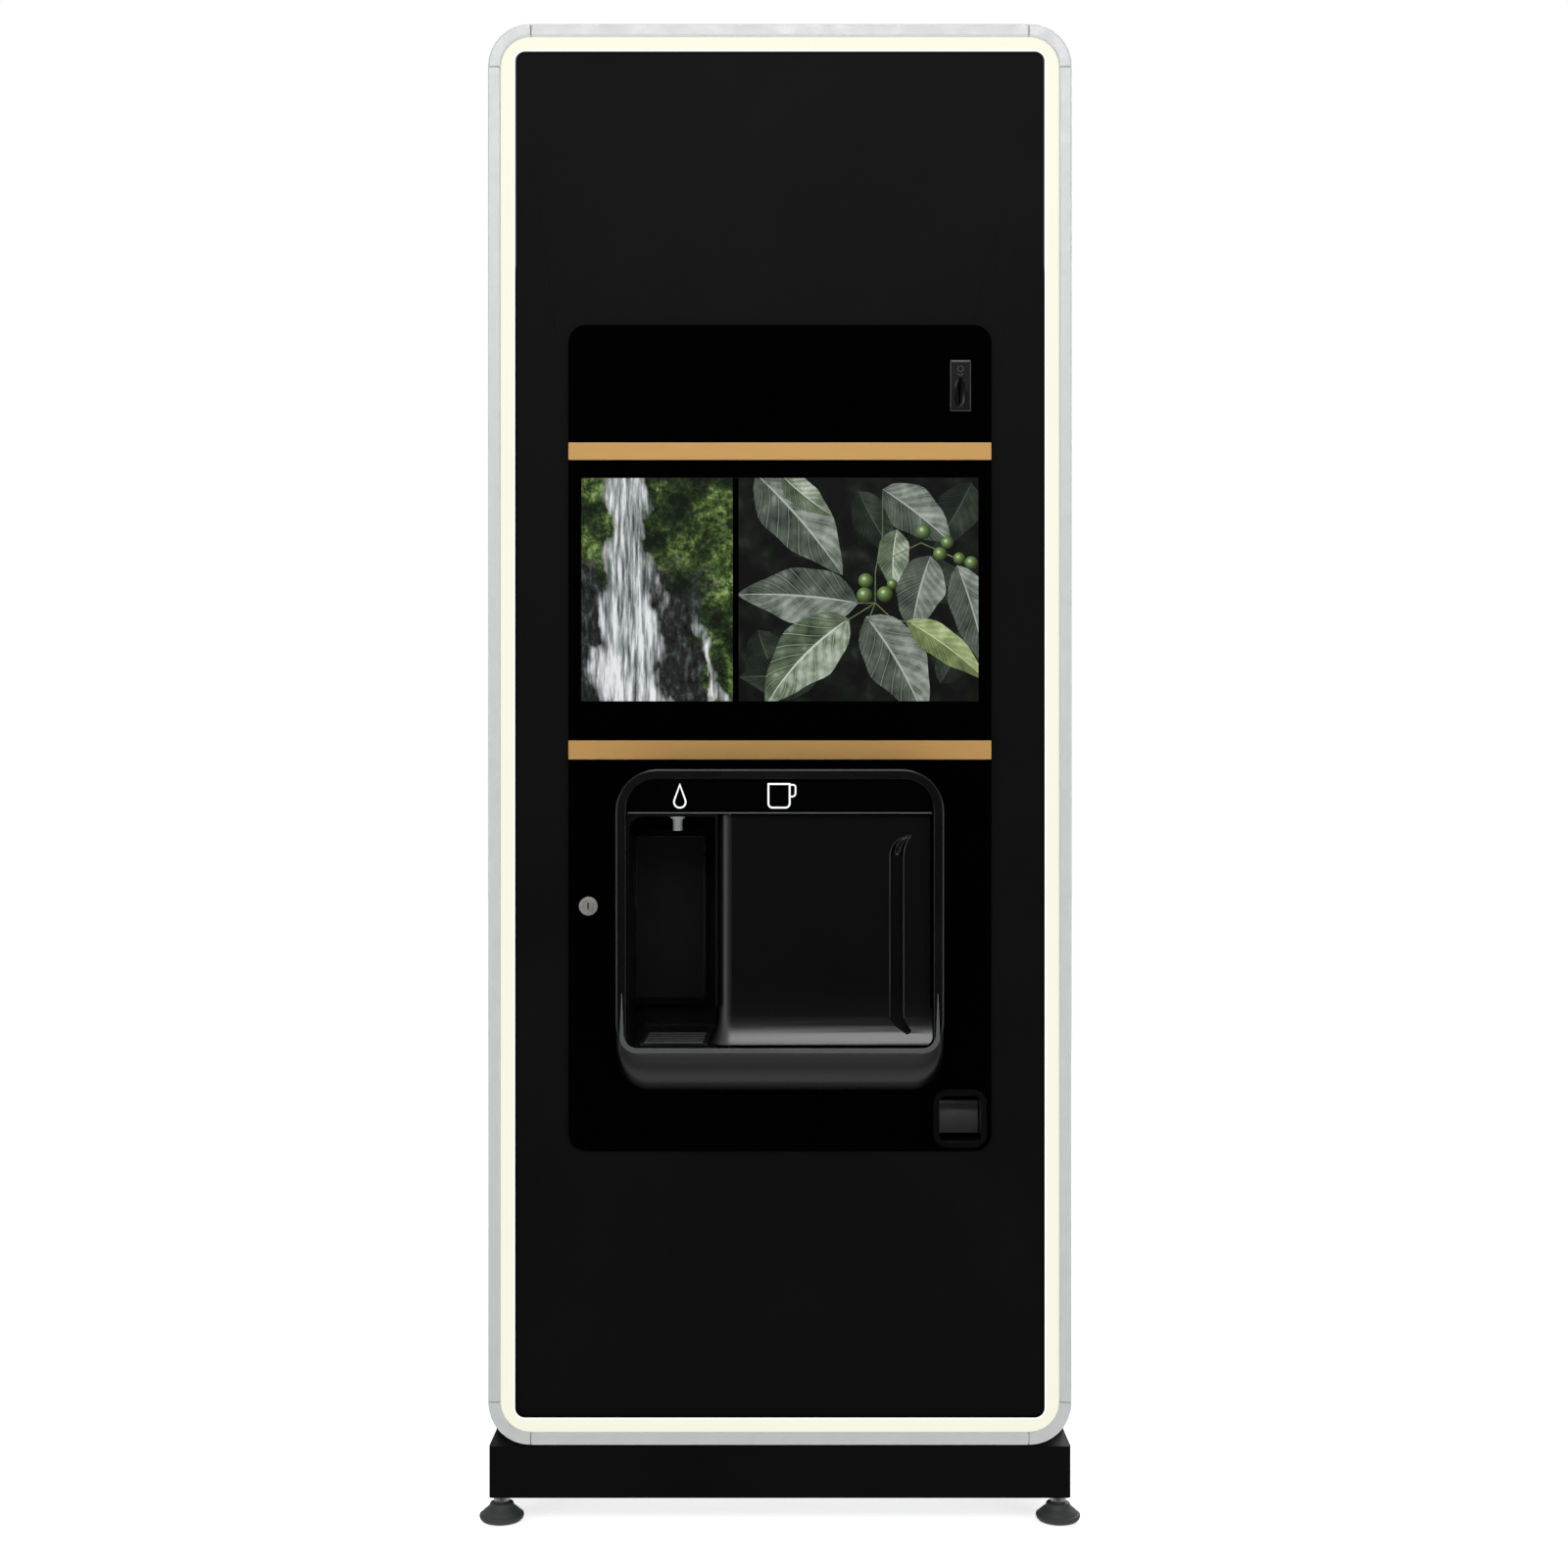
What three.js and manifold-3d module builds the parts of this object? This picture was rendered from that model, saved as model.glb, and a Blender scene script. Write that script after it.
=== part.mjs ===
// Hot drink vending machine: a free-standing cabinet with a full-height service door.
// Millimetres. +X right, +Z up, the front faces -Y, and the origin is on the floor under
// the middle of the machine.

import * as THREE from 'three';
import { mergeVertices } from 'three/addons/utils/BufferGeometryUtils.js';
import Module from 'manifold-3d';

const wasm = await Module();
wasm.setup();

// ---------------------------------------------------------------- driving dimensions

const GAP = 0.3; // assembly gap between pieces that touch
const HALF_WIDTH = 356; // outer half width of the door frame
const HEIGHT = 1830;
const HALF_DEPTH = 380; // delivery bay at the front to the inlet flanges at the back

const FRAME = { front: -335, back: -277, low: 97, band: 15, radius: 52, lip: 12, wall: 3 };
const STRIP = { width: 18, front: -332, back: -322.6, innerRadius: 12 };
const PANEL = { front: -330, back: -327 };
const GLASS = { half: 258, low: 455, high: 1463, radius: 22, front: -334, back: PANEL.front - GAP };
const LINER = { front: -322.3, skin: -280, back: -278, wall: 2 };
const TRIM = { front: -336.8, back: GLASS.front - GAP, half: 257.5 };
const UPPER_TRIM = [1298, 1319];
const LOWER_TRIM = [933, 956];
const SCREEN = { half: 242.6, low: 1003.4, high: 1276.6, front: -333.6, caseBack: -296 };

const SHELL = { half: 355, high: 1828, low: 95, front: -264, back: 378, radius: 51, wall: 2 };
const FLANGE = 16; // width of the flange round the cabinet mouth
const PLINTH = { half: 355, low: 32, high: 95, front: -333, back: 378, wall: 3, flange: 45 };
const FOOT = { x: 341, frontY: -319, rearY: 345, radius: 27.2, padHeight: 23, studRadius: 10 };

const HINGE = { x: 350, y: -271, pinRadius: 3.6, hole: 3.8, ear: 5.6, thick: 4 };
const HINGE_LOW = { ear: 152, step: 8, up: 1 }; // the pin stands up from the lower bracket
const HINGE_HIGH = { ear: 1760, step: -8, up: -1 }; // and hangs from the upper one

const BAY = {
  half: 198.5, high: 922.5, rimLow: 579, chinLow: 530, front: HALF_DEPTH, base: GLASS.front - GAP,
  innerHalf: 184.7, innerLow: 588, innerHigh: 909.5, cornerLow: 14, cornerHigh: 37,
  sideBow: 2.5, topBow: 3,
};
const HEADER = { low: 867.4, front: -375, back: -341 };
const HOUSING = {
  wall: 3, floor: 2, high: 866.8, waterBack: -232, cupBack: -212, waterFront: -370, cupFront: -341,
  step: 30, stepHigh: 599,
};
const DIVIDER = [-77.5, -74.5]; // wall between the hot-water side and the cup station
const DOOR = { axisX: -62, axisY: -355, radius: 11, right: 183.6, low: 588.2, high: 865.6, thick: 14 };
const FLARE = { // how far the foot of the delivery door sweeps forward, against the height
  swing: 23, // clear radius round the hinge axis that it turns in
  steps: [[633, -0.3], [622, 0.3], [612, 1.6], [603, 3.8], [597, 6.2], [592, 8.2], [589.8, 8.8], [588.6, 8]],
};
const PULL = { left: 133, right: 148.5, low: 620, high: 818, depth: 7, tip: 158, tipHigh: 841, tipLow: 602 };
const SPOUT = { x: -127, y: -285, radius: 6, low: 845 };

const LOCK = { x: -233.3, z: 754.2, flange: 11.35, barrel: 9.5, plug: 6.5, back: -292 };
const COIN_PLATE = { left: 207.5, right: 232.5, low: 1357, high: 1419, front: -337.3 };
const COIN_SLOT = { x: 220, half: 2.5, low: 1365, high: 1397.6 };
const RETURN = {
  left: 187, right: 251.5, low: 461, high: 531, radius: 16, front: -341, back: -284,
  inLeft: 194, inRight: 245, inLow: 467.5, inHigh: 523.5,
};
const FLAP = { y: -300, hingeZ: 511, low: 473, bendZ: 490, left: 194.8, right: 244.2, thick: 2.5 };

const UPPER_SHELF = 1280;
const BREW_DECK = 925;
const SHELF_THICK = 3;
const TURRET = { x: -232, y: 40, ring: 76, tube: 37, disc: 114, low: 1300, high: 1700 };
const HOPPER = { x: 5, y: 20, half: 100, halfDepth: 90, low: 1430, taper: 1490, high: 1610, wall: 3 };
const CANISTER_X = [175, 290];
const BREWER = { x: -20, chamberHigh: 1080, chamberRadius: 35, bore: 22, beam: 1180 };
const BUCKET = { half: 160, low: 98.6, high: 420, wall: 3 };
const FLOOR_TOP = 98.3;
const INLETS = { mains: { x: 270, z: 200 }, water: { x: 200, z: 200 } };

// ---------------------------------------------------------------- materials

function finish(color, roughness, metalness) {
  return new THREE.MeshStandardMaterial({ color, roughness, metalness });
}

const SILVER = finish(0xdadbdb, 0.35, 0.4);
const BLACK_STEEL = finish(0x141414, 0.55, 0.3);
const GALVANISED = finish(0x9a9d9e, 0.45, 0.8);
const BLACK_GLASS = finish(0x030303, 0.05, 0);
const LIGHT_STRIP = finish(0xf9f9e5, 0.5, 0);
const GOLD = finish(0xbc935a, 0.35, 0.9);
const BLACK_PLASTIC = finish(0x1b1c1c, 0.45, 0);
const GLOSS_PLASTIC = finish(0x060606, 0.12, 0);
const CHROME = finish(0xc9ccce, 0.12, 1);
const NICKEL = finish(0xb6b3aa, 0.3, 1);
const RUBBER = finish(0x2b2e2c, 0.8, 0);
const SMOKED = finish(0x6d5c48, 0.2, 0);
const IVORY = finish(0xd8d5cb, 0.5, 0);
const GREY_PLASTIC = finish(0x6e7173, 0.5, 0);

// ---------------------------------------------------------------- shape helpers

const part = new THREE.Group();

function add(name, geometry, material) {
  const mesh = new THREE.Mesh(geometry, material);
  mesh.name = name;
  part.add(mesh);
  return mesh;
}

// Rounded rectangle; radii run from the low left corner round to the high left one.
function roundedRect(left, right, low, high, radii) {
  const [a, b, c, d] = Array.isArray(radii) ? radii : [radii, radii, radii, radii];
  const shape = new THREE.Shape();
  shape.moveTo(left + a, low);
  shape.lineTo(right - b, low);
  if (b > 0) shape.absarc(right - b, low + b, b, -Math.PI / 2, 0);
  shape.lineTo(right, high - c);
  if (c > 0) shape.absarc(right - c, high - c, c, 0, Math.PI / 2);
  shape.lineTo(left + d, high);
  if (d > 0) shape.absarc(left + d, high - d, d, Math.PI / 2, Math.PI);
  shape.lineTo(left, low + a);
  if (a > 0) shape.absarc(left + a, low + a, a, Math.PI, 1.5 * Math.PI);
  return shape;
}

function circle(x, y, radius) {
  return roundedRect(x - radius, x + radius, y - radius, y + radius, radius);
}

function polygon(points) {
  return new THREE.Shape(points.map(([x, y]) => new THREE.Vector2(x, y)));
}

function withHoles(shape, ...holes) {
  shape.holes.push(...holes);
  return shape;
}

// The shape's outline as points, with no point twice.
function outlinePoints(shape, divisions) {
  const points = shape.getPoints(divisions);
  return points.filter((p, i) => p.distanceTo(points[(i + 1) % points.length]) > 1e-6);
}

function extrude(shape, depth, curveSegments) {
  const outline = new THREE.Shape(outlinePoints(shape, curveSegments));
  outline.holes = shape.holes.map((hole) => new THREE.Path(outlinePoints(hole, curveSegments)));
  return new THREE.ExtrudeGeometry(outline, { depth, bevelEnabled: false });
}

// A front-view outline (x, z) given thickness from one y to another.
function facing(shape, yFront, yBack, curveSegments = 3) {
  return extrude(shape, yBack - yFront, curveSegments).rotateX(Math.PI / 2).translate(0, yBack, 0);
}

// A plan outline (x, y) given height from one z to another.
function standing(shape, low, high, curveSegments = 3) {
  return extrude(shape, high - low, curveSegments).translate(0, 0, low);
}

// A side-view outline (y, z) given width from one x to another.
function across(shape, left, right, curveSegments = 3) {
  const turn = new THREE.Matrix4().makeBasis(
    new THREE.Vector3(0, 1, 0),
    new THREE.Vector3(0, 0, 1),
    new THREE.Vector3(1, 0, 0),
  );
  return extrude(shape, right - left, curveSegments).applyMatrix4(turn).translate(left, 0, 0);
}

function block(left, right, front, back, low, high) {
  return new THREE.BoxGeometry(right - left, back - front, high - low)
    .translate((left + right) / 2, (front + back) / 2, (low + high) / 2);
}

function rod(x, y, low, high, radius, sides = 18) {
  return new THREE.CylinderGeometry(radius, radius, high - low, sides)
    .rotateX(Math.PI / 2).translate(x, y, (low + high) / 2);
}

function rodAlongY(x, z, front, back, radius, sides = 18) {
  return new THREE.CylinderGeometry(radius, radius, back - front, sides)
    .translate(x, (front + back) / 2, z);
}

// A body turned about a vertical axis from [radius, height] pairs that start and end on it.
function turned(profile, sides = 22) {
  const points = profile.map(([radius, height]) => new THREE.Vector2(radius, height));
  return new THREE.LatheGeometry(points, sides).rotateX(Math.PI / 2);
}

function signedVolume(positions, triangles) {
  const corner = (k) => new THREE.Vector3().fromArray(positions, 3 * triangles[k]);
  let total = 0;
  for (let k = 0; k < triangles.length; k += 3) {
    total += corner(k).dot(corner(k + 1).cross(corner(k + 2)));
  }
  return total / 6;
}

// A closed skin over outlines with the same number of points; place(point, i) puts a point in space.
function loft(outlines, place) {
  const count = outlines[0].length;
  const positions = outlines.flatMap((outline, i) => outline.flatMap((p) => place(p, i).toArray()));
  const triangles = [];
  for (let i = 0; i + 1 < outlines.length; i += 1) {
    for (let j = 0; j < count; j += 1) {
      const a = i * count + j;
      const b = i * count + ((j + 1) % count);
      triangles.push(a, b, a + count, b, b + count, a + count);
    }
  }
  const last = (outlines.length - 1) * count;
  for (const [a, b, c] of THREE.ShapeUtils.triangulateShape(outlines[0], [])) triangles.push(a, c, b);
  for (const [a, b, c] of THREE.ShapeUtils.triangulateShape(outlines.at(-1), [])) {
    triangles.push(last + a, last + b, last + c);
  }
  if (signedVolume(positions, triangles) < 0) triangles.reverse();
  const geometry = new THREE.BufferGeometry();
  geometry.setAttribute('position', new THREE.Float32BufferAttribute(positions, 3));
  geometry.setIndex(triangles);
  return geometry;
}

function toSolid(geometry) {
  const bare = geometry.clone();
  bare.deleteAttribute('normal');
  bare.deleteAttribute('uv');
  const merged = mergeVertices(bare, 1e-4);
  const kept = [];
  const index = merged.index.array;
  for (let k = 0; k < index.length; k += 3) {
    const [a, b, c] = index.slice(k, k + 3);
    if (a !== b && b !== c && c !== a) kept.push(a, b, c);
  }
  return new wasm.Manifold(new wasm.Mesh({
    numProp: 3,
    vertProperties: new Float32Array(merged.attributes.position.array),
    triVerts: new Uint32Array(kept),
  }));
}

function toGeometry(solid) {
  const mesh = solid.getMesh();
  const geometry = new THREE.BufferGeometry();
  geometry.setAttribute('position', new THREE.Float32BufferAttribute(mesh.vertProperties, 3));
  geometry.setIndex([...mesh.triVerts]);
  return geometry;
}

function join(...geometries) {
  return toGeometry(geometries.map(toSolid).reduce((sum, next) => sum.add(next)));
}

function cut(geometry, ...tools) {
  return toGeometry(tools.map(toSolid).reduce((rest, tool) => rest.subtract(tool), toSolid(geometry)));
}

// ---------------------------------------------------------------- cabinet

function sidePanel(side) {
  const { half, wall, front, back, low, high, radius } = SHELL;
  const profile = polygon([
    [side * half, front], [side * half, back], [side * (half - wall), back],
    [side * (half - wall), front + wall], [side * (half - FLANGE), front + wall],
    [side * (half - FLANGE), front],
  ]);
  return standing(profile, low + GAP, high - radius - GAP);
}

function topCover() {
  const { half, high, radius, wall, front, back } = SHELL;
  const springing = high - radius;
  const arch = (inset) => roundedRect(
    inset - half, half - inset, springing - 200 + inset, high - inset, [0, 0, radius - inset, radius - inset],
  );
  const below = block(-half - 1, half + 1, front - 1, back + 1, springing - 250, springing);
  const sheet = facing(withHoles(arch(0), arch(wall)), front, back, 4);
  const flange = facing(withHoles(arch(0), arch(FLANGE)), front, front + wall, 4);
  return cut(join(sheet, flange), below);
}

function backPanel() {
  const side = SHELL.half - SHELL.wall - GAP;
  const arc = SHELL.radius - SHELL.wall - GAP;
  const sheet = roundedRect(-side, side, FLOOR_TOP + GAP, SHELL.high - SHELL.wall - GAP, [0, 0, arc, arc]);
  const { mains, water } = INLETS;
  withHoles(
    sheet,
    roundedRect(mains.x - 15.5, mains.x + 15.5, mains.z - 12.5, mains.z + 12.5, 1),
    circle(water.x, water.z, 15.5),
  );
  return facing(sheet, SHELL.back - 2 - GAP, SHELL.back - GAP, 4);
}

function plinth() {
  const { half, low, high, front, back, wall, flange } = PLINTH;
  const ring = (inset) => withHoles(
    roundedRect(-half, half, front, back, 4),
    roundedRect(inset - half, half - inset, front + inset, back - inset, 2),
  );
  return join(standing(ring(wall), low, high, 3), standing(ring(flange), high - wall, high, 3));
}

function levellingFoot() {
  const { radius, padHeight, studRadius } = FOOT;
  const top = PLINTH.high - PLINTH.wall - GAP;
  return turned([
    [0, 0], [16, 0], [22, 1], [26, 3.5], [radius, 7], [26.4, 9.5], [22, 13], [14, 19],
    [studRadius, padHeight], [studRadius, top], [0, top],
  ], 20);
}

function shelf(front, ...holes) {
  const side = SHELL.half - SHELL.wall - 2 * GAP;
  return withHoles(roundedRect(-side, side, front, SHELL.back - 2 - 2 * GAP, 3), ...holes);
}

// Bracket on the cabinet mouth with its pin; up is 1 for a standing pin, -1 for a hanging one.
function hingeBracket({ ear, up }) {
  const { x, y, pinRadius, thick } = HINGE;
  const leafFront = SHELL.front - GAP - 3;
  const between = (from, to) => [Math.min(from, to), Math.max(from, to)];
  return join(
    block(340, 354.6, leafFront, SHELL.front - GAP, ...between(ear + up * thick, ear - up * 26)),
    block(x - 4, x + 4, y, leafFront + 1, ...between(ear, ear + up * thick)),
    rod(x, y, ...between(ear, ear + up * thick), 4.9),
    rod(x, y, ...between(ear, ear + up * 20), pinRadius),
  );
}

function mainsInlet({ x, z }) {
  const { back } = SHELL;
  return cut(
    join(
      facing(roundedRect(x - 27, x + 27, z - 16, z + 16, 4), back, HALF_DEPTH),
      block(x - 15, x + 15, back - 26, back + 1, z - 12, z + 12),
    ),
    block(x - 12, x + 12, back - 18, HALF_DEPTH + 1, z - 8.5, z + 8.5),
  );
}

function waterInlet({ x, z }) {
  const { back } = SHELL;
  return cut(
    join(
      rodAlongY(x, z, back, HALF_DEPTH, 24, 24),
      rodAlongY(x, z, back - 34, back + 1, 15, 24),
    ),
    rodAlongY(x, z, back - 28, HALF_DEPTH + 1, 9),
  );
}

// ---------------------------------------------------------------- drink-making parts

function cupTurret() {
  const { ring, tube, disc, low, high } = TURRET;
  const stacks = [0, 1, 2, 3, 4, 5].map((k) => {
    const angle = (k * Math.PI) / 3 - Math.PI / 2;
    return rod(ring * Math.cos(angle), ring * Math.sin(angle), low + 3, high - 3, tube, 14);
  });
  return join(
    rod(0, 0, low, low + 6, disc, 28),
    rod(0, 0, high - 6, high, disc, 28),
    rod(0, 0, low, high + 24, 24),
    ...stacks,
  );
}

function turretBase() {
  const { x, y, ring, tube, disc, low } = TURRET;
  const outline = withHoles(circle(x, y, disc + 4), circle(x, y - ring, tube + 4));
  return standing(outline, UPPER_SHELF + SHELF_THICK + GAP, low - GAP, 5);
}

function cupChute() {
  const { x, y, ring, tube } = TURRET;
  const outline = withHoles(circle(x, y - ring, tube + 6), circle(x, y - ring, tube + 3));
  return standing(outline, UPPER_SHELF - 170, UPPER_SHELF - GAP, 4);
}

function hopperShell(inset, floor, top) {
  const { half, halfDepth, low, taper } = HOPPER;
  const ring = (x, y) => outlinePoints(roundedRect(-x, x, -y, y, 12), 2);
  const heights = [low + floor, taper, top];
  const rings = [
    ring(45 - inset, 45 - inset),
    ring(half - inset, halfDepth - inset),
    ring(half - inset, halfDepth - inset),
  ];
  return loft(rings, (p, i) => new THREE.Vector3(p.x, p.y, heights[i]));
}

function hopperLid() {
  const { half, halfDepth, high } = HOPPER;
  return join(
    standing(roundedRect(-half - 3, half + 3, -halfDepth - 3, halfDepth + 3, 14), high + GAP, high + 6),
    standing(roundedRect(-40, 40, -halfDepth - 8, -halfDepth + 30, 6), high + 5, high + 10),
  );
}

function coffeeGrinder() {
  const low = UPPER_SHELF + SHELF_THICK + GAP;
  const high = HOPPER.low - GAP;
  return turned([
    [0, low], [52, low], [52, low + 50], [40, low + 58], [40, low + 74], [56, low + 82],
    [56, high - 24], [44, high - 10], [44, high], [0, high],
  ], 24);
}

function brewUnit() {
  const low = BREW_DECK + SHELF_THICK + GAP;
  const { chamberHigh, chamberRadius, bore, beam } = BREWER;
  return cut(
    join(
      block(-70, 70, 42, 66, low, beam + 24),
      block(-70, 70, -40, 43, beam, beam + 24),
      block(-60, 60, -40, 43, low, low + 30),
      rod(0, 0, low, chamberHigh, chamberRadius, 24),
      block(-20, 20, 20, 43, low, chamberHigh - 20),
    ),
    rod(0, 0, low + 60, chamberHigh + 1, bore, 24),
    rod(0, 0, beam - 1, beam + 25, 9),
  );
}

function brewPiston() {
  const { chamberHigh, bore, beam } = BREWER;
  return join(
    rod(0, 0, chamberHigh - 50, chamberHigh - 22, bore - 0.6, 24),
    rod(0, 0, chamberHigh - 30, beam + 46, 8),
    rod(0, 0, beam + 38, beam + 46, 16),
  );
}

function boiler() {
  const low = BREW_DECK + SHELF_THICK + GAP;
  return turned([
    [0, low], [46, low], [46, low + 16], [62, low + 24], [66, low + 34], [66, low + 240],
    [60, low + 256], [40, low + 266], [16, low + 270], [16, low + 290], [0, low + 290],
  ], 24);
}

function waterPump() {
  const low = BREW_DECK + SHELF_THICK + GAP;
  return join(
    block(-26, 26, -34, 34, low, low + 10),
    rodAlongY(0, low + 38, -46, 14, 30, 28),
    rodAlongY(0, low + 38, 12, 44, 22, 28),
    rodAlongY(0, low + 38, 42, 56, 8, 16),
  );
}

// Ingredient canister, full of powder, with its outlet elbow in front of the shelf.
function canister() {
  const low = UPPER_SHELF + SHELF_THICK + GAP;
  const outletY = -120;
  return join(
    standing(roundedRect(-48, 48, -95, 205, 10), low, 1540),
    standing(roundedRect(-51, 51, -98, 208, 12), 1530, 1552),
    rodAlongY(0, low + 32, outletY, -90, 17),
    rod(0, outletY, UPPER_SHELF - 16, low + 49, 17),
  );
}

function mixer() {
  const high = UPPER_SHELF - 16 - GAP;
  return join(
    turned([
      [0, high - 92], [12, high - 92], [12, high - 72], [22, high - 66], [40, high - 30],
      [42, high - 6], [36, high], [0, high],
    ]),
    rodAlongY(0, high - 48, 10, 70, 20),
  );
}

function openBox(left, right, front, back, low, high, wall, corner) {
  return cut(
    standing(roundedRect(left, right, front, back, corner), low, high, 2),
    standing(
      roundedRect(left + wall, right - wall, front + wall, back - wall, corner - wall + 1),
      low + wall, high + 1, 2,
    ),
  );
}

// ---------------------------------------------------------------- service door

function frameSection() {
  const { front, back, band, lip, wall } = FRAME;
  return [
    [0, front], [band, front], [band, front + lip], [wall, front + lip], [wall, back - wall],
    [band, back - wall], [band, back], [0, back],
  ].map(([inward, y]) => new THREE.Vector2(inward, y));
}

function frameStraight(length) {
  const section = frameSection();
  const ends = [-length / 2, length / 2];
  return loft([section, section], (p, i) => new THREE.Vector3(-p.x, p.y, ends[i]));
}

// The high right corner, with its bend centred on the mesh's own axis.
function frameCorner() {
  const steps = 8;
  const sections = Array.from({ length: steps + 1 }, frameSection);
  return loft(sections, (p, i) => {
    const angle = (i / steps) * (Math.PI / 2);
    const radius = FRAME.radius - p.x;
    return new THREE.Vector3(radius * Math.cos(angle), p.y, radius * Math.sin(angle));
  });
}

function addDoorFrame() {
  const { low, radius } = FRAME;
  const upright = frameStraight(HEIGHT - low - 2 * radius - 2 * GAP);
  const level = frameStraight(2 * (HALF_WIDTH - radius) - 2 * GAP);
  const corner = frameCorner();
  const middle = (low + HEIGHT) / 2;
  const cornerX = HALF_WIDTH - radius;
  const places = [
    ['frame_right', upright, HALF_WIDTH, middle, 0],
    ['frame_left', upright, -HALF_WIDTH, middle, Math.PI],
    ['frame_top', level, 0, HEIGHT, -Math.PI / 2],
    ['frame_bottom', level, 0, low, Math.PI / 2],
    ['frame_corner_top_right', corner, cornerX, HEIGHT - radius, 0],
    ['frame_corner_bottom_right', corner, cornerX, low + radius, Math.PI / 2],
    ['frame_corner_bottom_left', corner, -cornerX, low + radius, Math.PI],
    ['frame_corner_top_left', corner, -cornerX, HEIGHT - radius, -Math.PI / 2],
  ];
  for (const [name, geometry, x, z, turn] of places) {
    const mesh = add(name, geometry, SILVER);
    mesh.position.set(x, 0, z);
    mesh.rotation.y = turn;
  }
}

// Rounded outline set in from the outside of the door frame.
function insetOutline(inset, radius) {
  return roundedRect(
    inset - HALF_WIDTH, HALF_WIDTH - inset, FRAME.low + inset, HEIGHT - inset, radius,
  );
}

function lightDiffuser() {
  const outer = FRAME.band + GAP;
  const inner = FRAME.band + STRIP.width;
  const ring = withHoles(
    insetOutline(outer, FRAME.radius - outer),
    insetOutline(inner, STRIP.innerRadius),
  );
  return facing(ring, STRIP.front, STRIP.back);
}

// Openings through the door skin, each grown by margin.
function bayOpening(margin) {
  const { innerHalf, innerLow, innerHigh } = BAY;
  return roundedRect(
    -innerHalf - margin, innerHalf + margin, innerLow - 3 - margin, innerHigh + margin,
    [BAY.cornerLow, BAY.cornerLow, BAY.cornerHigh, BAY.cornerHigh],
  );
}

function coinOpening() {
  const { x, low, high } = COIN_SLOT;
  return roundedRect(x - 4, x + 4, low - 3, high + 3, 2);
}

function returnOpening(margin) {
  return roundedRect(
    RETURN.inLeft - margin, RETURN.inRight + margin, RETURN.inLow - margin, RETURN.inHigh + margin, 8,
  );
}

function screenOpening(margin) {
  const { half, low, high } = SCREEN;
  return roundedRect(-half - margin, half + margin, low - margin, high + margin, 1);
}

function doorPanel() {
  const inset = FRAME.band + STRIP.width + GAP;
  const skin = withHoles(
    insetOutline(inset, STRIP.innerRadius - GAP),
    bayOpening(3), coinOpening(), returnOpening(4), screenOpening(8.5),
    circle(LOCK.x, LOCK.z, LOCK.barrel + GAP),
  );
  return facing(skin, PANEL.front, PANEL.back);
}

function fasciaGlass() {
  const { half, low, high, radius, front, back } = GLASS;
  const pane = withHoles(
    roundedRect(-half, half, low, high, radius),
    bayOpening(1.5), coinOpening(), returnOpening(3), screenOpening(GAP),
    circle(LOCK.x, LOCK.z, LOCK.barrel + GAP),
  );
  return facing(pane, front, back);
}

// Ears for the hinge pins, welded on the back of the liner.
function linerHinge({ ear, step, up }) {
  const { x, y, hole, ear: radius, thick } = HINGE;
  const low = up > 0 ? ear + step : ear + step - thick;
  const high = low + thick;
  const leaf = up > 0 ? [low, high + 60] : [low - 60, high];
  return cut(
    join(
      block(322, 343, FRAME.back + GAP, FRAME.back + GAP + 3, ...leaf),
      block(330, x, FRAME.back + GAP, y + 4, low, high),
      rod(x, y, low, high, radius),
      block(322, 338, LINER.skin, FRAME.back + GAP + 1, ...leaf),
    ),
    rod(x, y, low - 1, high + 1, hole),
  );
}

function doorLiner() {
  const inset = FRAME.band + GAP;
  const radius = FRAME.radius - inset;
  const skin = facing(withHoles(
    insetOutline(inset, radius), bayOpening(3), coinOpening(), returnOpening(3),
  ), LINER.skin, LINER.back, 2);
  const rim = facing(withHoles(
    insetOutline(inset, radius), insetOutline(inset + LINER.wall, radius - LINER.wall),
  ), LINER.front, LINER.skin + 0.5, 2);
  return join(skin, rim, linerHinge(HINGE_LOW), linerHinge(HINGE_HIGH));
}

function displayModule() {
  const { half, low, high, front, caseBack } = SCREEN;
  return join(
    block(-half, half, front, PANEL.back + 1, low, high),
    block(-half - 8, half + 8, PANEL.back + GAP, caseBack, low - 8, high + 8),
  );
}

function trim([low, high]) {
  return facing(roundedRect(-TRIM.half, TRIM.half, low, high, 0.6), TRIM.front, TRIM.back, 2);
}

// ---------------------------------------------------------------- delivery bay

// Outline whose sides and top bow outwards a little between the rounded corners.
function bowedOutline(inset, low) {
  const half = BAY.half - inset;
  const high = BAY.high - inset;
  const shape = roundedRect(-half, half, low, high, [36, 36, 48, 48].map((r) => r - inset));
  const middle = (low + high) / 2;
  return outlinePoints(shape, 4).map((p) => {
    const towardsSide = (p.x / half) ** 2;
    const towardsEnd = ((p.y - middle) / (high - middle)) ** 2;
    return new THREE.Vector2(
      p.x - Math.sign(p.x) * BAY.sideBow * towardsEnd,
      p.y > middle ? p.y - BAY.topBow * towardsSide : p.y,
    );
  });
}

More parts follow.
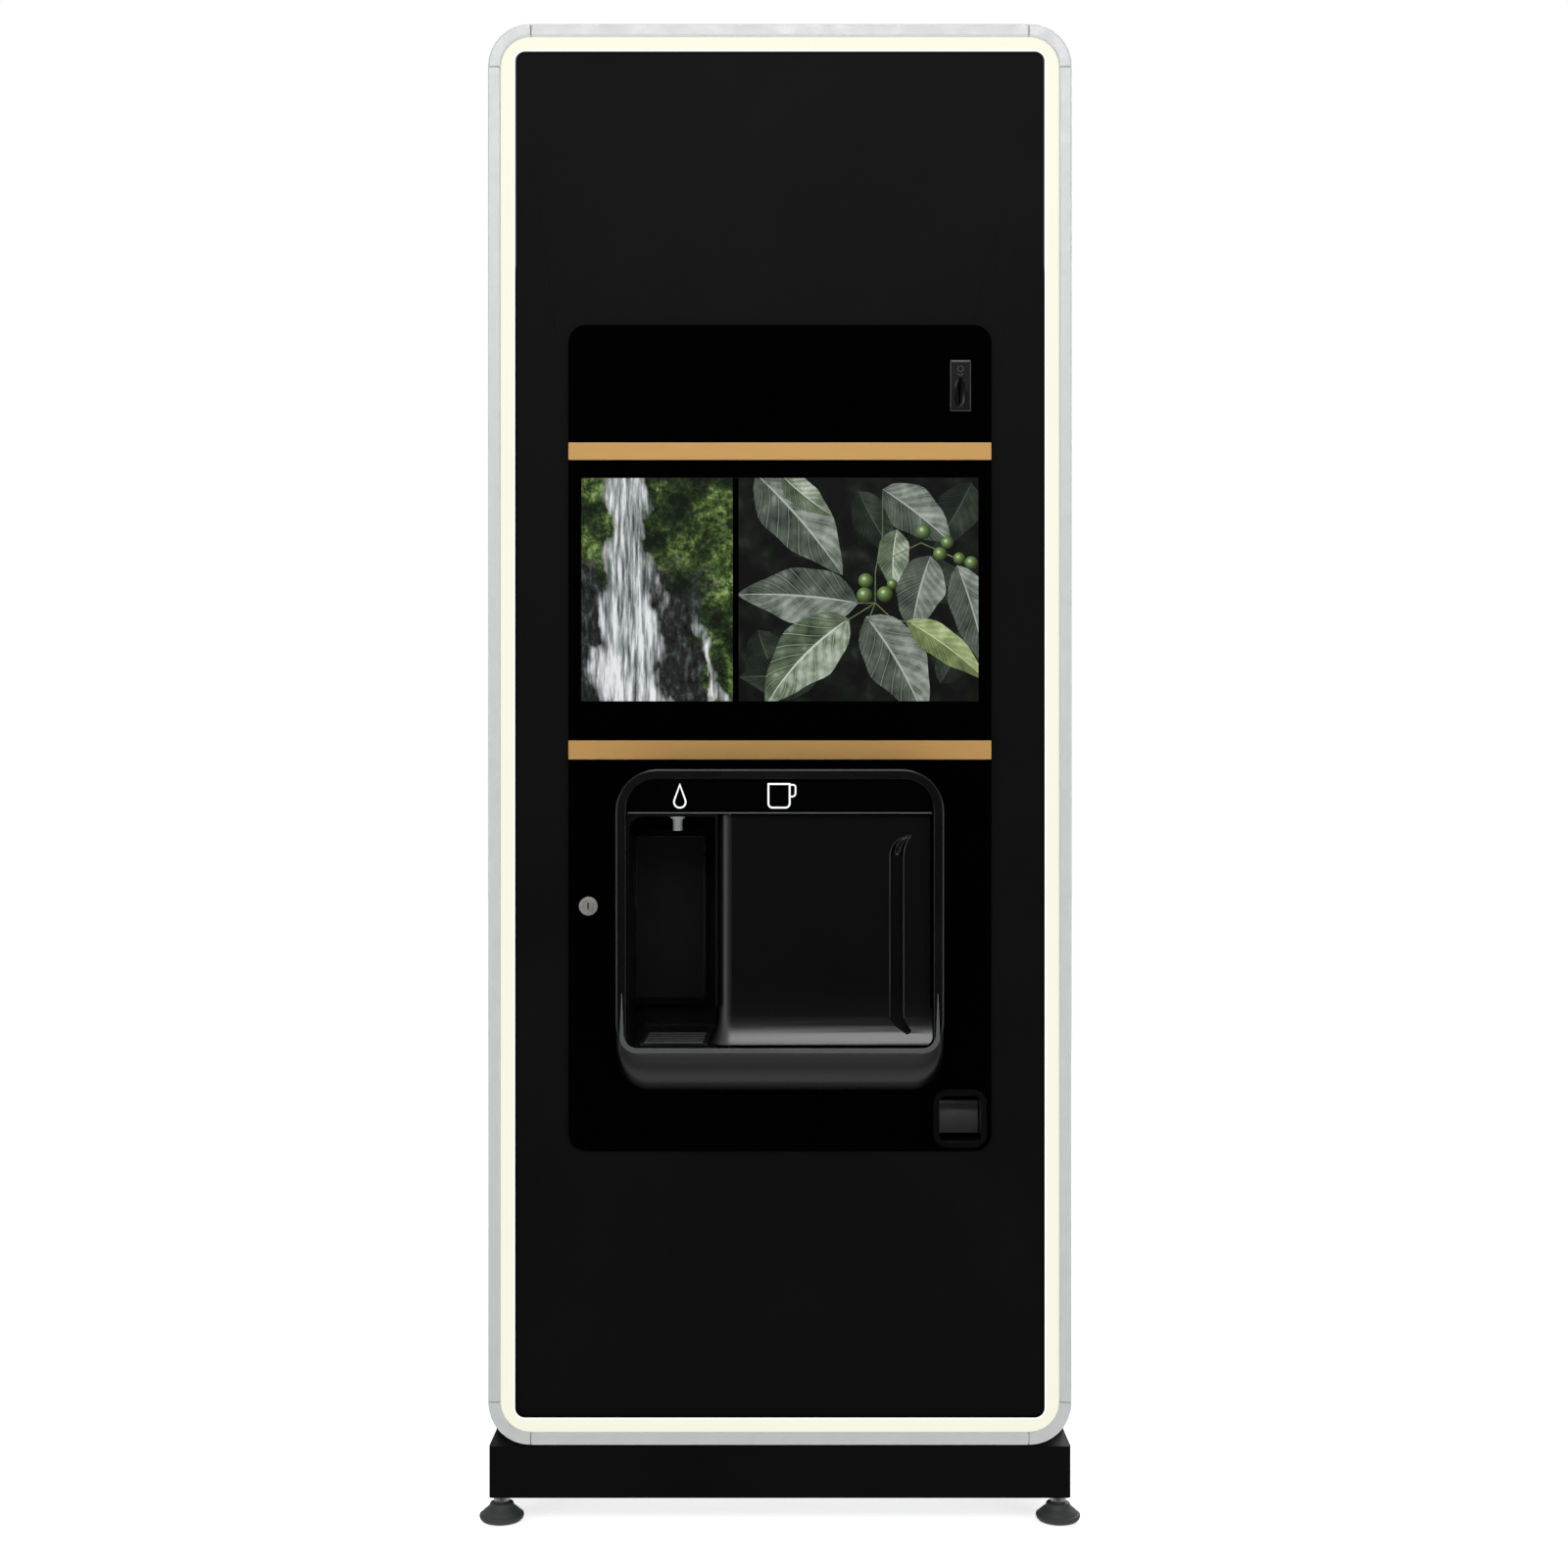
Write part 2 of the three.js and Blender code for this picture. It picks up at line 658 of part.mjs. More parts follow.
function bayBezel() {
  const { base, front, rimLow, chinLow, innerHalf, innerLow, innerHigh } = BAY;
  const steps = [
    [base, 0, chinLow], [-342, 0, chinLow + 2.5], [-351, 0, chinLow + 9], [-359, 0, chinLow + 19],
    [-365, 0, chinLow + 31], [-369, 0, rimLow - 4], [-372, 0, rimLow], [1.5 - front, 0, rimLow],
    [-front, 1.5, rimLow + 1.5],
  ];
  const outlines = steps.map(([, inset, low]) => bowedOutline(inset, low));
  const shell = loft(outlines, (p, i) => new THREE.Vector3(p.x, steps[i][0], p.y));
  const inside = facing(roundedRect(
    -innerHalf, innerHalf, innerLow - 3, innerHigh,
    [BAY.cornerLow, BAY.cornerLow, BAY.cornerHigh, BAY.cornerHigh],
  ), -front - 1, base + 1, 4);
  const pivot = rod(DOOR.axisX, DOOR.axisY, rimLow + 1.5, innerLow, 3.4);
  return cut(shell, inside, pivot);
}

function headerPanel() {
  const { innerHalf, innerHigh, cornerHigh } = BAY;
  const edge = innerHalf - GAP;
  const corner = cornerHigh - GAP;
  const outline = roundedRect(-edge, edge, HEADER.low, innerHigh - GAP, [1, 1, corner, corner]);
  const pivot = rod(DOOR.axisX, DOOR.axisY, HEADER.low - 1, HEADER.low + 6, 3.4);
  return cut(facing(outline, HEADER.front, HEADER.back, 4), pivot);
}

function bayHousing() {
  const { wall, floor, high, waterBack, cupBack, waterFront, cupFront, step, stepHigh } = HOUSING;
  const edge = BAY.innerHalf - GAP;
  const low = BAY.innerLow - 3 + GAP;
  const corner = BAY.cornerLow - GAP;
  const waterSide = roundedRect(-edge, DIVIDER[1], low, high, [corner, 0, 0, 0]);
  const cupSide = roundedRect(DIVIDER[0], edge, low, high, [0, corner, 0, 0]);
  const waterHollow = roundedRect(
    wall - edge, DIVIDER[0], low + floor, high - wall, [corner - wall, 2, 2, 16],
  );
  const cupHollow = roundedRect(
    DIVIDER[1] + 3, edge - wall, low + floor, high - wall, [4, corner - wall, 2, 2],
  );
  const splashback = roundedRect(wall - edge - 1, -92, 626, 846, [0, 8, 8, 22]);
  const trayStep = block(
    corner - edge, DIVIDER[0] + 1, waterBack - step, waterBack - 1, low, stepHigh,
  );
  const doorSwing = rod(DOOR.axisX, DOOR.axisY, low + floor, FLARE.steps[0][0] + 2, FLARE.swing, 32);
  return join(
    cut(
      join(facing(waterSide, waterFront, waterBack), facing(cupSide, cupFront, cupBack)),
      facing(waterHollow, waterFront - 1, waterBack - wall),
      facing(cupHollow, cupFront - 1, cupBack - wall),
      doorSwing,
    ),
    facing(splashback, waterBack - wall - 13, waterBack - wall + 1, 3),
    trayStep,
  );
}

function waterSpout() {
  const { x, y, radius, low } = SPOUT;
  const top = HOUSING.high - HOUSING.wall - GAP;
  return turned([
    [0, low + 8], [radius - 2, low + 8], [radius - 2, low], [radius - 0.6, low], [radius, low + 1],
    [radius, top - 4], [radius + 3, top - 3], [radius + 3, top], [0, top],
  ], 16).translate(x, y, 0);
}

function dripGrille() {
  const low = BAY.innerLow - 3 + GAP + HOUSING.floor + GAP;
  const left = BAY.cornerLow + 1 - BAY.innerHalf;
  const right = DOOR.axisX - FLARE.swing - 1.5;
  const front = HOUSING.waterFront + 2;
  const back = HOUSING.waterBack - HOUSING.step - 1;
  const slots = [];
  const pitch = 12;
  for (let y = front + 8; y + 6 < back - 4; y += pitch) {
    slots.push(roundedRect(left + 8, right - 8, y, y + 6, 2.9));
  }
  const plate = withHoles(roundedRect(left, right, front, back, 4), ...slots);
  return standing(plate, low, low + 3.4, 1);
}

// Finger pull seen from the front: a tall slot whose two ends curl away to the right.
function pullOutline() {
  const { left, right, low, high, tip, tipHigh, tipLow } = PULL;
  const outline = new THREE.Shape();
  outline.moveTo(left, high);
  outline.quadraticCurveTo(left + 2, tipHigh - 3, tip, tipHigh);
  outline.quadraticCurveTo(right + 1, tipHigh - 8, right, high - 2);
  outline.lineTo(right, low + 4);
  outline.quadraticCurveTo(right + 1, low - 4, tip, tipLow + 5);
  outline.quadraticCurveTo(tip, tipLow, tip - 6, tipLow);
  outline.quadraticCurveTo(left + 1, low - 6, left, low);
  outline.closePath();
  return outline;
}

// Foot of the door that sweeps forward, along the leaf and round its hinge side.
function doorFlare() {
  const { axisX, axisY, radius, right } = DOOR;
  const outlines = FLARE.steps.map(([, reach]) => {
    const out = radius + reach;
    const outline = new THREE.Shape();
    outline.moveTo(axisX, axisY);
    outline.lineTo(axisX - out, axisY);
    outline.absarc(axisX, axisY, out, Math.PI, 1.5 * Math.PI);
    outline.lineTo(right, axisY - out);
    outline.lineTo(right, axisY - radius + 1);
    outline.lineTo(axisX, axisY - radius + 1);
    return outlinePoints(outline, 5);
  });
  return loft(outlines, (p, i) => new THREE.Vector3(p.x, p.y, FLARE.steps[i][0]));
}

function deliveryDoor() {
  const { axisX, axisY, radius, right, low, high, thick } = DOOR;
  const front = axisY - radius;
  const leaf = polygon([
    [axisX, front], [right - 3, front], [right, front + 3], [right, front + thick],
    [axisX, front + thick],
  ]);
  const corner = facing(
    withHoles(
      roundedRect(axisX - 40, right + 20, low - 20, high + 5, 0),
      roundedRect(axisX - 30, right, low, high + 1, [0, 12, 0, 0]),
    ),
    front - 20, front + thick + 5,
  );
  return join(
    rod(axisX, axisY, low - 5, high + 5, 3),
    cut(
      join(standing(leaf, low, high), rod(axisX, axisY, low, high, radius, 28), doorFlare()),
      facing(pullOutline(), front - 20, front + PULL.depth, 6),
      corner,
    ),
  );
}

// ---------------------------------------------------------------- coins and lock

function coinPlate() {
  const { left, right, low, high, front } = COIN_PLATE;
  const { x, half, low: slotLow, high: slotHigh } = COIN_SLOT;
  const plate = facing(withHoles(
    roundedRect(left, right, low, high, 4),
    roundedRect(x - half, x + half, slotLow, slotHigh, 1),
  ), front, GLASS.front - GAP);
  const scoop = new THREE.SphereGeometry(1, 18, 10)
    .scale(8.5, 2.2, 19).translate(x, front, (slotLow + slotHigh) / 2 - 1);
  return cut(plate, scoop);
}

function coinChanger() {
  const front = LINER.back + GAP;
  return join(
    facing(roundedRect(150, 290, 1060, 1400, 4), front, -197),
    block(203, 237, front, -250, 536, 1061),
  );
}

function coinReturnCup() {
  const { left, right, low, high, radius, front, back } = RETURN;
  return cut(
    join(
      facing(roundedRect(left, right, low, high, radius), front, GLASS.front - GAP, 4),
      facing(returnOpening(2.4), GLASS.front - GAP - 1, back),
    ),
    facing(returnOpening(0), front - 1, back + 1),
  );
}

// Bent flap that hangs from its pivot rod; the lower half tucks back.
function coinFlap() {
  const { y, hingeZ, low, bendZ, left, right, thick } = FLAP;
  const leaf = polygon([
    [y + 1, hingeZ], [y - 7, bendZ], [y - 5, low], [y - 5 + thick, low], [y - 7 + thick, bendZ],
    [y + 1 + thick, hingeZ],
  ]);
  const pivot = new THREE.CylinderGeometry(2.6, 2.6, right - left, 20)
    .rotateZ(Math.PI / 2).translate((left + right) / 2, y, hingeZ);
  return join(across(leaf, left, right), pivot);
}

function lockHousing() {
  const { x, z, flange, barrel, plug, back } = LOCK;
  return cut(
    join(
      rodAlongY(x, z, GLASS.front - GAP - 3.4, GLASS.front - GAP, flange, 24),
      rodAlongY(x, z, GLASS.front - GAP - 1, back, barrel, 24),
    ),
    rodAlongY(x, z, -345, back + 1, plug + 0.25, 24),
  );
}

function lockPlug() {
  const { x, z, plug, back } = LOCK;
  const face = GLASS.front - GAP - 3.9;
  return cut(
    join(
      rodAlongY(x, z, face, back + 4, plug, 24),
      facing(roundedRect(x - 8, x + 8, z - 9, z + 38, 7), back + GAP, back + 3.3),
    ),
    block(x - 1, x + 1, face - 1, face + 12, z - 4.2, z + 4.2),
  );
}

// ---------------------------------------------------------------- the machine

function addCabinet() {
  add('left_side_panel', sidePanel(-1), BLACK_STEEL);
  add('right_side_panel', sidePanel(1), BLACK_STEEL);
  add('top_cover', topCover(), BLACK_STEEL);
  add('back_panel', backPanel(), GALVANISED);
  add('cabinet_floor', standing(shelf(SHELL.front + 2), SHELL.low + GAP, FLOOR_TOP), GALVANISED);
  add('plinth', plinth(), BLACK_STEEL);
  for (const [end, y] of [['front', FOOT.frontY], ['rear', FOOT.rearY]]) {
    for (const [side, x] of [['left', -FOOT.x], ['right', FOOT.x]]) {
      add(`levelling_foot_${end}_${side}`, levellingFoot(), RUBBER).position.set(x, y, 0);
    }
  }
  add('hinge_bracket_lower', hingeBracket(HINGE_LOW), GALVANISED);
  add('hinge_bracket_upper', hingeBracket(HINGE_HIGH), GALVANISED);
  add('mains_inlet', mainsInlet(INLETS.mains), BLACK_PLASTIC);
  add('water_inlet', waterInlet(INLETS.water), NICKEL);
}

function addWorks() {
  const { x, y, ring, tube } = TURRET;
  const cupHole = circle(x, y - ring, tube + 4);
  const brewDeckTop = BREW_DECK + SHELF_THICK;
  add('upper_shelf', standing(shelf(-100, cupHole), UPPER_SHELF, UPPER_SHELF + SHELF_THICK, 4), GALVANISED);
  add('brew_deck', standing(shelf(-60), BREW_DECK, brewDeckTop), GALVANISED);
  add('cup_turret_base', turretBase(), GREY_PLASTIC);
  add('cup_turret', cupTurret(), IVORY).position.set(x, y, 0);
  add('cup_chute', cupChute(), GREY_PLASTIC);

  const hopper = cut(hopperShell(0, 0, HOPPER.high), hopperShell(HOPPER.wall, HOPPER.wall, HOPPER.high + 1));
  add('bean_hopper', hopper, SMOKED).position.set(HOPPER.x, HOPPER.y, 0);
  add('hopper_lid', hopperLid(), BLACK_PLASTIC).position.set(HOPPER.x, HOPPER.y, 0);
  add('coffee_grinder', coffeeGrinder(), BLACK_PLASTIC).position.set(HOPPER.x, HOPPER.y, 0);

  add('brew_unit', brewUnit(), GREY_PLASTIC).position.x = BREWER.x;
  add('brew_piston', brewPiston(), CHROME).position.x = BREWER.x;
  add('boiler', boiler(), CHROME).position.set(200, 250, 0);
  add('water_pump', waterPump(), NICKEL).position.set(270, 60, 0);
  add('control_box', standing(roundedRect(-345, -165, 120, 330, 6), brewDeckTop + GAP, 1200), GREY_PLASTIC);
  CANISTER_X.forEach((canisterX, i) => {
    const side = ['left', 'right'][i];
    add(`canister_${side}`, canister(), IVORY).position.x = canisterX;
    add(`mixer_${side}`, mixer(), GREY_PLASTIC).position.set(canisterX, -120, 0);
  });
  const { half, low, high, wall } = BUCKET;
  add('waste_bucket', openBox(-half, half, -half, half, low, high, wall, 24), GREY_PLASTIC);
}

function addServiceDoor() {
  addDoorFrame();
  add('light_diffuser', lightDiffuser(), LIGHT_STRIP);
  add('door_panel', doorPanel(), BLACK_STEEL);
  add('door_liner', doorLiner(), GALVANISED);
  add('fascia_glass', fasciaGlass(), BLACK_GLASS);
  add('upper_trim', trim(UPPER_TRIM), GOLD);
  add('lower_trim', trim(LOWER_TRIM), GOLD);
  add('display_module', displayModule(), GLOSS_PLASTIC);
}

function addDeliveryBay() {
  add('bay_bezel', bayBezel(), BLACK_PLASTIC);
  add('bay_housing', bayHousing(), BLACK_PLASTIC);
  add('header_panel', headerPanel(), GLOSS_PLASTIC);
  add('water_spout', waterSpout(), CHROME);
  add('drip_grille', dripGrille(), BLACK_PLASTIC);
  add('delivery_door', deliveryDoor(), BLACK_PLASTIC);
}

function addCoinsAndLock() {
  add('coin_plate', coinPlate(), BLACK_PLASTIC);
  add('coin_changer', coinChanger(), BLACK_PLASTIC);
  add('cash_box', openBox(150, 290, LINER.back + GAP, -200, 300, 410, 2, 6), GALVANISED);
  add('coin_return_cup', coinReturnCup(), BLACK_PLASTIC);
  add('coin_flap', coinFlap(), BLACK_PLASTIC);
  add('lock_housing', lockHousing(), NICKEL);
  add('lock_plug', lockPlug(), NICKEL);
}

addCabinet();
addWorks();
addServiceDoor();
addDeliveryBay();
addCoinsAndLock();

export default part;
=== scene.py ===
"""Looks of a hot drink vending machine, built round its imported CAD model.

Everything is in metres in the model's own frame: +X right, +Z up, and the front faces -Y.
"""

import math
import random

import bmesh
import bpy
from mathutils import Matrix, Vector


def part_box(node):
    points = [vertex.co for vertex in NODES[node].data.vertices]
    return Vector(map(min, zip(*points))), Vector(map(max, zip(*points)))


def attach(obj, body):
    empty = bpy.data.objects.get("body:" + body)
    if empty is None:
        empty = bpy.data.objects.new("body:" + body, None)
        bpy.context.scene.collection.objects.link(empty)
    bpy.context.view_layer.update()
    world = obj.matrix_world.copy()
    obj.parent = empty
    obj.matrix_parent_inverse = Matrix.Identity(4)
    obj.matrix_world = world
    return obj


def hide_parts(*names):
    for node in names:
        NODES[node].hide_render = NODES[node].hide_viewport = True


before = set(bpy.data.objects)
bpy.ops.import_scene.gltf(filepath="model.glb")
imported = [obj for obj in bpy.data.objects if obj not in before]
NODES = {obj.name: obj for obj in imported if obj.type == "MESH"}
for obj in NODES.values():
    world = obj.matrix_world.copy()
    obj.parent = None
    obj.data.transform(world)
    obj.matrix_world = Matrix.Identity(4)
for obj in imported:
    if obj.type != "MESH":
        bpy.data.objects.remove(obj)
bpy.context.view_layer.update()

MM = 0.001
DOOR = "service_door"
CABINET = "cabinet"

# ---------------------------------------------------------------- places taken from the frame


def box_of(node):
    """Low and high corner of a node, as vectors."""
    low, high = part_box(node)
    return Vector(low), Vector(high)


FRAME_FRONT = box_of("frame_top")[0].y
FRAME_TOP = box_of("frame_top")[1].z
STRIP_FRONT = box_of("light_diffuser")[0].y
PANEL_LOW, PANEL_HIGH = box_of("door_panel")
HEADER_LOW, HEADER_HIGH = box_of("header_panel")
COIN_LOW, COIN_HIGH = box_of("coin_plate")
SCREEN_LOW, SCREEN_HIGH = box_of("display_module")
SCREEN_MARGIN = 8.6 * MM  # the display's case stands this far round its picture
LINER_BACK = -278 * MM

# ---------------------------------------------------------------- node helpers


class Graph:
    """A node tree, with a short call for each kind of node used here.

    A value given to a node is a constant or the output of another node.
    """

    def __init__(self, tree):
        self.nodes = tree.nodes
        self.links = tree.links

    def add(self, kind, **settings):
        node = self.nodes.new("ShaderNode" + kind)
        for key, value in settings.items():
            setattr(node, key, value)
        return node

    def feed(self, socket, value):
        """Sets a socket to a constant, or links it to another node's output."""
        if isinstance(value, bpy.types.NodeSocket):
            self.links.new(value, socket)
        else:
            socket.default_value = value

    def split(self, source="Object"):
        """The three parts of a coordinate, or of any vector that is given instead of a name."""
        node = self.add("SeparateXYZ")
        if isinstance(source, str):
            source = self.add("TexCoord").outputs[source]
        self.feed(node.inputs["Vector"], source)
        return node.outputs

    def mapping(self, source="Object", **values):
        node = self.add("Mapping")
        for key, value in values.items():
            node.inputs[key].default_value = value
        self.feed(node.inputs["Vector"], self.add("TexCoord").outputs[source])
        return node.outputs["Vector"]

    def noise(self, scale, detail=3.0, stretch=(1, 1, 1), roughness=0.5):
        texture = self.add("TexNoise")
        texture.inputs["Scale"].default_value = scale
        texture.inputs["Detail"].default_value = detail
        texture.inputs["Roughness"].default_value = roughness
        self.feed(texture.inputs["Vector"], self.mapping(Scale=stretch))
        return texture.outputs["Fac"]

    def remap(self, value, low, high, start=0.3, stop=0.7):
        """Maps start..stop, which most of a noise lies between, to low..high."""
        node = self.add("MapRange")
        sockets = ("Value", "To Min", "To Max", "From Min", "From Max")
        for name, given in zip(sockets, (value, low, high, start, stop)):
            self.feed(node.inputs[name], given)
        return node.outputs["Result"]

    def ramp(self, value, stops):
        """Turns a value into a colour; each stop is a position and a colour."""
        node = self.add("ValToRGB")
        elements = node.color_ramp.elements
        while len(elements) < len(stops):
            elements.new(0.5)
        for element, (position, colour) in zip(elements, stops):
            element.position = position
            element.color = (*colour, 1)
        self.feed(node.inputs["Fac"], value)
        return node.outputs["Color"]

    def calc(self, operation, *values):
        """One maths node."""
        node = self.add("Math", operation=operation)
        for socket, value in zip(node.inputs, values):
            self.feed(socket, value)
        return node.outputs["Value"]

    def colour(self, *levels):
        node = self.add("RGB")
        node.outputs[0].default_value = (*levels, 1)
        return node.outputs[0]

    def mix(self, fac, below, above):
        """One colour laid over another, as far as fac says."""
        node = self.add("Mix", data_type="RGBA")
        for name, value in (("Factor", fac), ("A", below), ("B", above)):
            self.feed(node.inputs[name], value)
        return node.outputs["Result"]

    def bump(self, height, strength, distance):
        node = self.add("Bump")
        for name, value in (("Height", height), ("Strength", strength), ("Distance", distance)):
            self.feed(node.inputs[name], value)
        return node.outputs["Normal"]


def new_material(name):
    """A material, the graph of its nodes, and the inputs of its shader."""
    material = bpy.data.materials.new(name)
    material.use_nodes = True
    graph = Graph(material.node_tree)
    return material, graph, graph.nodes["Principled BSDF"].inputs


def set_inputs(shader, **values):
    """Sets constants on a shader's inputs; a space in an input's name is written as an underscore."""
    for key, value in values.items():
        shader[key.replace("_", " ")].default_value = value


def either_side(colour, spread):
    """A slightly darker and a slightly lighter colour."""
    return [tuple(min(1.0, c * (1 + sign * spread)) for c in colour) for sign in (-1, 1)]


def mottled(name, colour, spread, roughness, scale, relief=0.0, fine=900.0, **values):
    """Colour and roughness that drift a little over the surface, with a fine texture."""
    material, graph, shader = new_material(name)
    drift = graph.noise(scale)
    dark, light = either_side(colour, spread)
    graph.feed(shader["Base Color"], graph.ramp(drift, [(0.35, dark), (0.65, light)]))
    graph.feed(shader["Roughness"], graph.remap(drift, roughness * 0.9, min(1.0, roughness * 1.1)))
    if relief:
        graph.feed(shader["Normal"], graph.bump(graph.noise(fine, detail=2.0), 0.5, relief))
    set_inputs(shader, **values)
    return material


def brushed(name, colour, spread, roughness, stretch, relief=0.00002, **values):
    """Metal with fine parallel scratches along one axis."""
    material, graph, shader = new_material(name)
    streak = graph.noise(60.0, detail=4.0, stretch=stretch)
    dark, light = either_side(colour, spread)
    graph.feed(shader["Base Color"], graph.ramp(streak, [(0.3, dark), (0.7, light)]))
    graph.feed(shader["Roughness"], graph.remap(streak, roughness * 0.8, roughness * 1.25))
    graph.feed(shader["Normal"], graph.bump(streak, 0.35, relief))
    set_inputs(shader, **values)
    return material


def glowing(name, colour, strength, body=0.1):
    """A lit surface whose glow drifts very little."""
    material, graph, shader = new_material(name)
    soft = tuple(c * 0.985 for c in colour)
    graph.feed(shader["Emission Color"], graph.ramp(graph.noise(7.0), [(0.3, soft), (0.7, colour)]))
    base = (*[c * body for c in colour], 1)
    set_inputs(shader, Base_Color=base, Roughness=0.5, Emission_Strength=strength)
    return material


def show_lit(graph, shader, colour):
    """Makes a picture glow as a lit screen does, with a dark glossy face in front."""
    graph.feed(shader["Emission Color"], colour)
    set_inputs(shader, Base_Color=(0.004, 0.004, 0.004, 1), Roughness=0.25, Specular_IOR_Level=0.1)
    set_inputs(shader, Emission_Strength=1.0)


# ---------------------------------------------------------------- materials

SILVER = brushed("satin_silver", (0.515, 0.523, 0.523), 0.012, 0.45, (1, 1, 1), Metallic=0.2)
GOLD = brushed("brushed_gold", (0.46, 0.262, 0.080), 0.05, 0.40, (0.5, 14, 26), Metallic=0.3)
LIT_STRIP = glowing("opal_light_strip", (0.945, 0.945, 0.785), 0.93, body=0.04)
LIT_LINE = glowing("light_edge", (1.0, 1.0, 0.98), 1.05)
# The pictograms' white ink also glows a little: painted brightness, as the ink is no lamp.
GLOWING_INK = glowing("white_ink_painted_glow", (0.92, 0.93, 0.93), 0.55, body=0.6)
LAMP_GREEN = glowing("indicator_green", (0.08, 0.75, 0.16), 1.2)
LAMP_AMBER = glowing("indicator_amber", (0.90, 0.42, 0.05), 1.2)


def shiny(name, colour, spread, roughness, scale, level, relief=0.0, fine=900.0):
    """A mottled paint or plastic with its own level of shine."""
    return mottled(name, colour, spread, roughness, scale, relief, fine, Specular_IOR_Level=level)


def metal(name, colour, spread, roughness, scale, metallic=1.0, relief=0.0, fine=900.0):
    return mottled(name, colour, spread, roughness, scale, relief, fine, Metallic=metallic)


# Paint, glass and plastic. Each has a colour and its spread, a roughness and the scale of the mottling;
# then, where they are given, its shine, its relief and the relief's grain.
BLACK_STEEL = shiny("black_powder_coat", (0.0032, 0.0032, 0.0032), 0.06, 0.5, 6.0, 0.05, 0.00006, 1400.0)
CABINET_STEEL = shiny(
    "cabinet_powder_coat", (0.0085, 0.0087, 0.0090), 0.08, 0.48, 3.0, 0.2, 0.00008, 1100.0)
GLASS_BLACK = shiny("fascia_glass_black", (0.0003, 0.0003, 0.0003), 0.05, 0.03, 4.0, 0.42)
BAY_PLASTIC = shiny("bay_plastic", (0.0016, 0.0017, 0.0016), 0.06, 0.27, 9.0, 0.5, 0.00003, 1300.0)
DOOR_PLASTIC = shiny(
    "delivery_door_plastic", (0.0007, 0.0008, 0.0007), 0.08, 0.235, 9.0, 1.0, 0.00003, 1000.0)
GLOSS_BLACK = shiny("header_gloss", (0.0006, 0.0007, 0.0006), 0.05, 0.06, 4.0, 0.45)
COIN_PLASTIC = shiny("coin_plastic", (0.0026, 0.0028, 0.0026), 0.06, 0.22, 20.0, 0.25, 0.00001, 1500.0)
# A lighter copy of the coin plastic for the coin flap: painted light where light falls on the flap.
FLAP_LIT_PLASTIC = shiny("flap_plastic_painted_light", (0.038, 0.0405, 0.038), 0.06, 0.36, 20.0, 1.0, 0.00003, 1500.0)
# A lighter copy of the bay plastic for the splashback's raised face: painted light where the face catches
# light.
SPLASH_LIT_PLASTIC = shiny("splash_plastic_painted_light", (0.0085, 0.0087, 0.0085), 0.05, 0.24, 9.0, 0.5)
# The rim bead's light plastic is a painted highlight along the foot of the bay's rim.
BEAD_HIGHLIGHT_PLASTIC = shiny("rim_bead_painted_highlight", (0.062, 0.068, 0.064), 0.05, 0.3, 20.0, 1.0)
GRILLE_PLASTIC = shiny("grille_plastic", (0.006, 0.0065, 0.006), 0.05, 0.34, 20.0, 0.3)
# A lighter plastic: the coin mark's own colour, and painted highlights along the finger pull, the
# splashback's edge and the coin plate's sides.
LIP_AND_HIGHLIGHT_PLASTIC = mottled("moulded_lip_and_painted_highlight", (0.030, 0.033, 0.031), 0.05, 0.3, 40.0)
# Light grey strips that are painted highlights along edges: the header's foot, the grille ribs and the
# coin plate's top.
PAINTED_HIGHLIGHT = mottled("painted_edge_highlight", (0.10, 0.112, 0.105), 0.05, 0.3, 40.0)
IVORY = mottled("ivory_plastic", (0.66, 0.64, 0.57), 0.03, 0.42, 10.0, 0.00004)
GREY = mottled("grey_plastic", (0.13, 0.14, 0.15), 0.05, 0.45, 10.0, 0.00005)
RUBBER = mottled("foot_rubber", (0.028, 0.031, 0.029), 0.12, 0.62, 30.0, 0.00008, 500.0)
PAPER = mottled("paper_cup", (0.74, 0.73, 0.70), 0.03, 0.6, 60.0, 0.00003, 700.0)
BEANS = mottled("roasted_beans", (0.055, 0.024, 0.010), 0.45, 0.36, 160.0, 0.0004, 170.0)
SMOKED = mottled(
    "smoked_plastic", (0.20, 0.12, 0.07), 0.05, 0.12, 8.0, Transmission_Weight=0.75, IOR=1.45)
SILICONE = mottled("silicone_tube", (0.60, 0.60, 0.56), 0.04, 0.4, 12.0, Transmission_Weight=0.25)

# Metals: the same, with how metallic they look in place of the shine.
GALVANISED = metal("galvanised_sheet", (0.46, 0.47, 0.48), 0.045, 0.42, 24.0, 0.85, 0.00002, 160.0)
SATIN_CHROME = metal("satin_chrome", (0.86, 0.87, 0.87), 0.03, 0.3, 30.0, 0.3)
CHROME = metal("chrome_plate", (0.72, 0.73, 0.74), 0.02, 0.09, 30.0)
NICKEL = metal("nickel_plate", (0.58, 0.57, 0.53), 0.05, 0.36, 60.0, 0.8)
STUD_STEEL = metal("zinc_stud", (0.60, 0.62, 0.62), 0.06, 0.3, 50.0, 0.9)
COPPER = metal("copper_pipe", (0.62, 0.27, 0.15), 0.08, 0.28, 18.0)
BRASS = metal("brass_fitting", (0.60, 0.42, 0.16), 0.06, 0.28, 40.0)


def coarsen_door_plastic():
    """The moulding is smoothest on the door's face, and coarser round its hinge side and on its foot."""
    graph = Graph(DOOR_PLASTIC.node_tree)
    spot = graph.split()
    smooth = 0.235
    side = graph.remap(spot["X"], 0.55, smooth, -65 * MM, -57 * MM)
    foot = graph.remap(spot["Z"], 0.30, smooth, 600 * MM, 655 * MM)
    graph.feed(graph.nodes["Principled BSDF"].inputs["Roughness"], graph.calc("MAXIMUM", side, foot))


coarsen_door_plastic()

